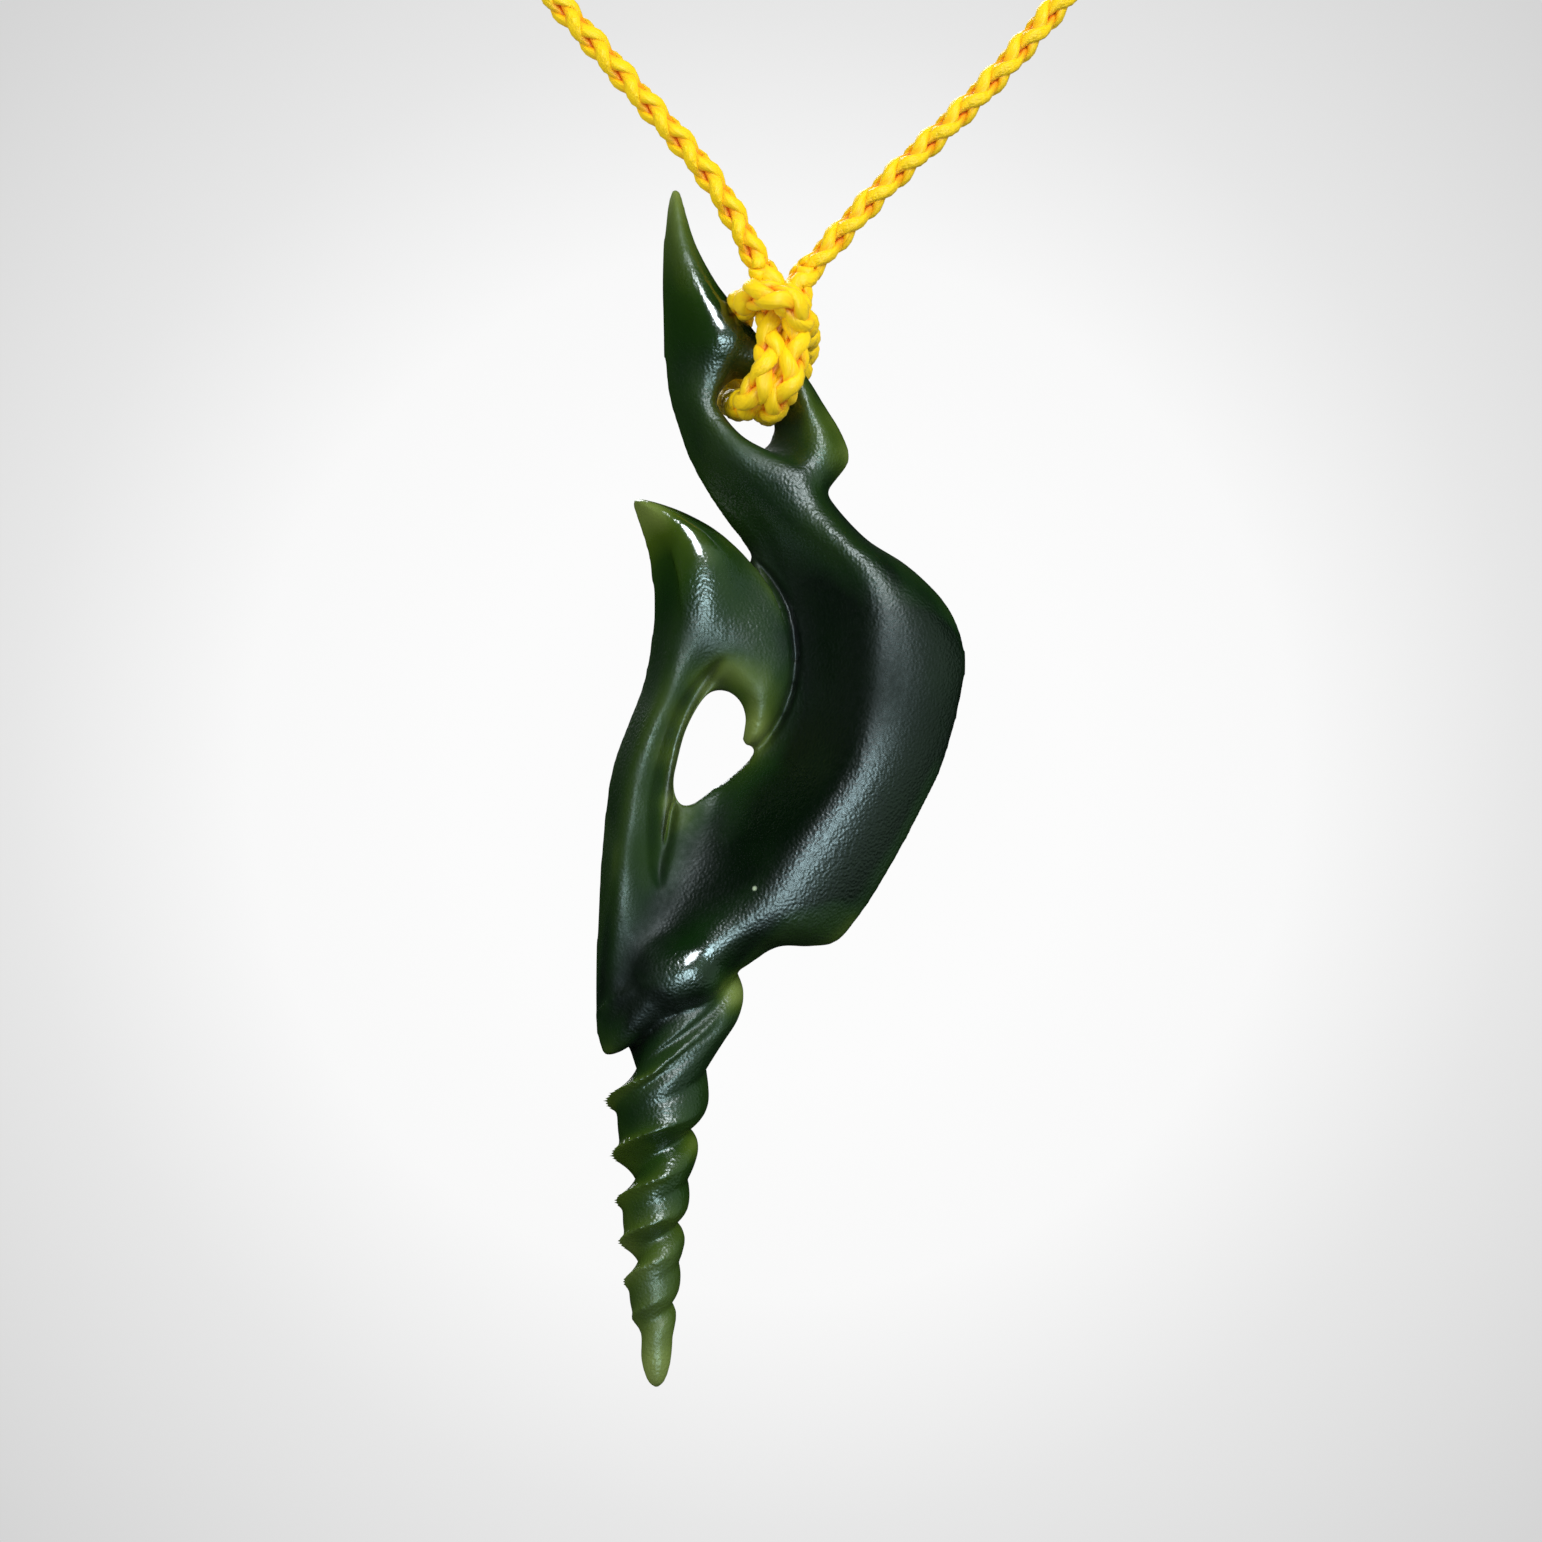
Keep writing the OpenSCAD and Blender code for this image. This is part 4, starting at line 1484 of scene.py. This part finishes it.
SOFTBOXES = (
    Softbox("streak_box", (0.13, -1.00, 0.27), (0.26, 0.38), 8.0, (0.86, 0.95, 1.0), matt=False),
    Softbox("satin_box", (0.18, -1.08, -0.40), (0.36, 0.34), 7.0, (0.66, 0.92, 1.0), matt=False),
    Softbox("broad_box", (0.98, -0.70, -0.20), (1.8, 1.7), 4.0, (0.68, 1.0, 0.78), matt=False),
    Softbox("key_fill", (0.75, -0.95, 0.55), (0.8, 0.7), 15.0, gloss=False),
    Softbox("left_fill", (-0.9, -0.8, 0.1), (0.7, 0.9), 6.0, gloss=False),
    Softbox("rear_box", (-0.3, 0.75, 0.45), (0.5, 0.4), 6.0, (0.95, 0.98, 1.0)),
)


@dataclass
class Studio:
    """Camera, backdrop, floor and soft lights. Metres."""

    eye: Spot = (-0.002607, -0.612, -0.16087)
    plane: float = -0.112
    shown: float = 0.10307
    sensor: float = 36.0
    nearest: float = 0.01
    wall: float = 2.4
    floor: float = -0.62
    half_floor: float = 2.5
    wall_height: float = 3.0
    cove: float = 0.15
    # Painted pool of light on the backdrop: pairs of distance, as a share of the width shown at the wall,
    # and tone
    painted_light_falloff: tuple[tuple[float, float], ...] = ((0.20, 0.973), (0.34, 0.945), (0.49, 0.80), (0.70, 0.665))
    aim: Spot = (0, -0.112, -0.16)
    air: Colour = (0.85, 0.86, 0.87)
    air_strength: float = 0.5

    def camera(self) -> None:
        """Sets the camera level, at the photograph's place and angle."""
        lens = bpy.data.cameras.new("camera")
        lens.sensor_width = self.sensor
        lens.lens = self.sensor * (self.plane - self.eye[1]) / self.shown
        lens.clip_start = self.nearest
        camera = bpy.data.objects.new("camera", lens)
        camera.location = self.eye
        camera.rotation_euler = (math.radians(90), 0, 0)
        bpy.context.scene.collection.objects.link(camera)
        bpy.context.scene.camera = camera

    def sweep_finish(self) -> bpy.types.Material:
        """Builds the backdrop's finish, which gives off its own light.

        Returns:
            Pale paper with a painted pool of light, lightest behind the pendant.
        """
        board = Board("painted_light_paper")
        place = board.node("ShaderNodeTexCoord").outputs["Object"]
        behind = (self.eye[0], self.wall, self.eye[2])
        centred = board.node("ShaderNodeVectorMath", {"operation": "SUBTRACT"}, {0: place, 1: behind})
        length = board.node("ShaderNodeVectorMath", {"operation": "LENGTH"}, {0: centred.outputs[0]})
        reach = self.shown * (self.wall - self.eye[1]) / (self.plane - self.eye[1])
        stops = [(share, (tone, tone, tone)) for share, tone in self.painted_light_falloff]
        # Painted pool of light, brightest behind the pendant
        painted_pool = board.ramp(board.wire(length, "Value") * (1 / reach), stops)
        return board.close(board.node("ShaderNodeEmission", None, {"Color": painted_pool}))

    def sweep(self) -> None:
        """Lays a self-lit pale floor that curves up into the backdrop, with a painted pool of light
        behind the pendant.
        """
        work = bmesh.new()
        verts = bmesh.ops.create_grid(work, x_segments=1, y_segments=1, size=self.half_floor)["verts"]
        bmesh.ops.translate(work, vec=(0, self.wall - self.half_floor, self.floor), verts=verts)
        rear = [e for e in work.edges if all(v.co.y > self.wall - MM for v in e.verts)]
        raised = bmesh.ops.extrude_edge_only(work, edges=rear)["geom"]
        bmesh.ops.translate(work, vec=(0, 0, self.wall_height), verts=verts_in(raised))
        edge = {"affect": "EDGES", "segments": 12, "profile": 0.5, "material": -1}
        bmesh.ops.bevel(work, geom=rear, offset=self.cove, **edge)
        sweep = set_out(work, "studio_sweep", self.sweep_finish())
        sweep.visible_glossy = False
        sweep.visible_diffuse = False
        sweep.visible_shadow = False

    def lights(self) -> None:
        """Hangs the softboxes and lets plain pale air light the matt faces."""
        for box in SOFTBOXES:
            box.hang(self.aim)
        world = bpy.data.worlds.new("studio_air")
        bpy.context.scene.world = world
        world.use_nodes = True
        air = world.node_tree.nodes["Background"]
        air.inputs["Color"].default_value = (*self.air, 1)
        air.inputs["Strength"].default_value = self.air_strength
        world.cycles_visibility.glossy = False

    def build(self) -> None:
        """Sets the whole studio up."""
        self.camera()
        self.sweep()
        self.lights()
        bpy.context.scene.view_settings.view_transform = "Standard"


def main() -> None:
    """Builds the studio, the stone and the cord, and writes down how large it all is."""
    logging.basicConfig(level=logging.INFO, format="%(name)s: %(message)s")
    Studio().build()
    for piece in (*PlaitedCord().build(), HookCarving().build()):
        LOG.info("%s is in place", piece.name)


if __name__ == "__main__":
    main()
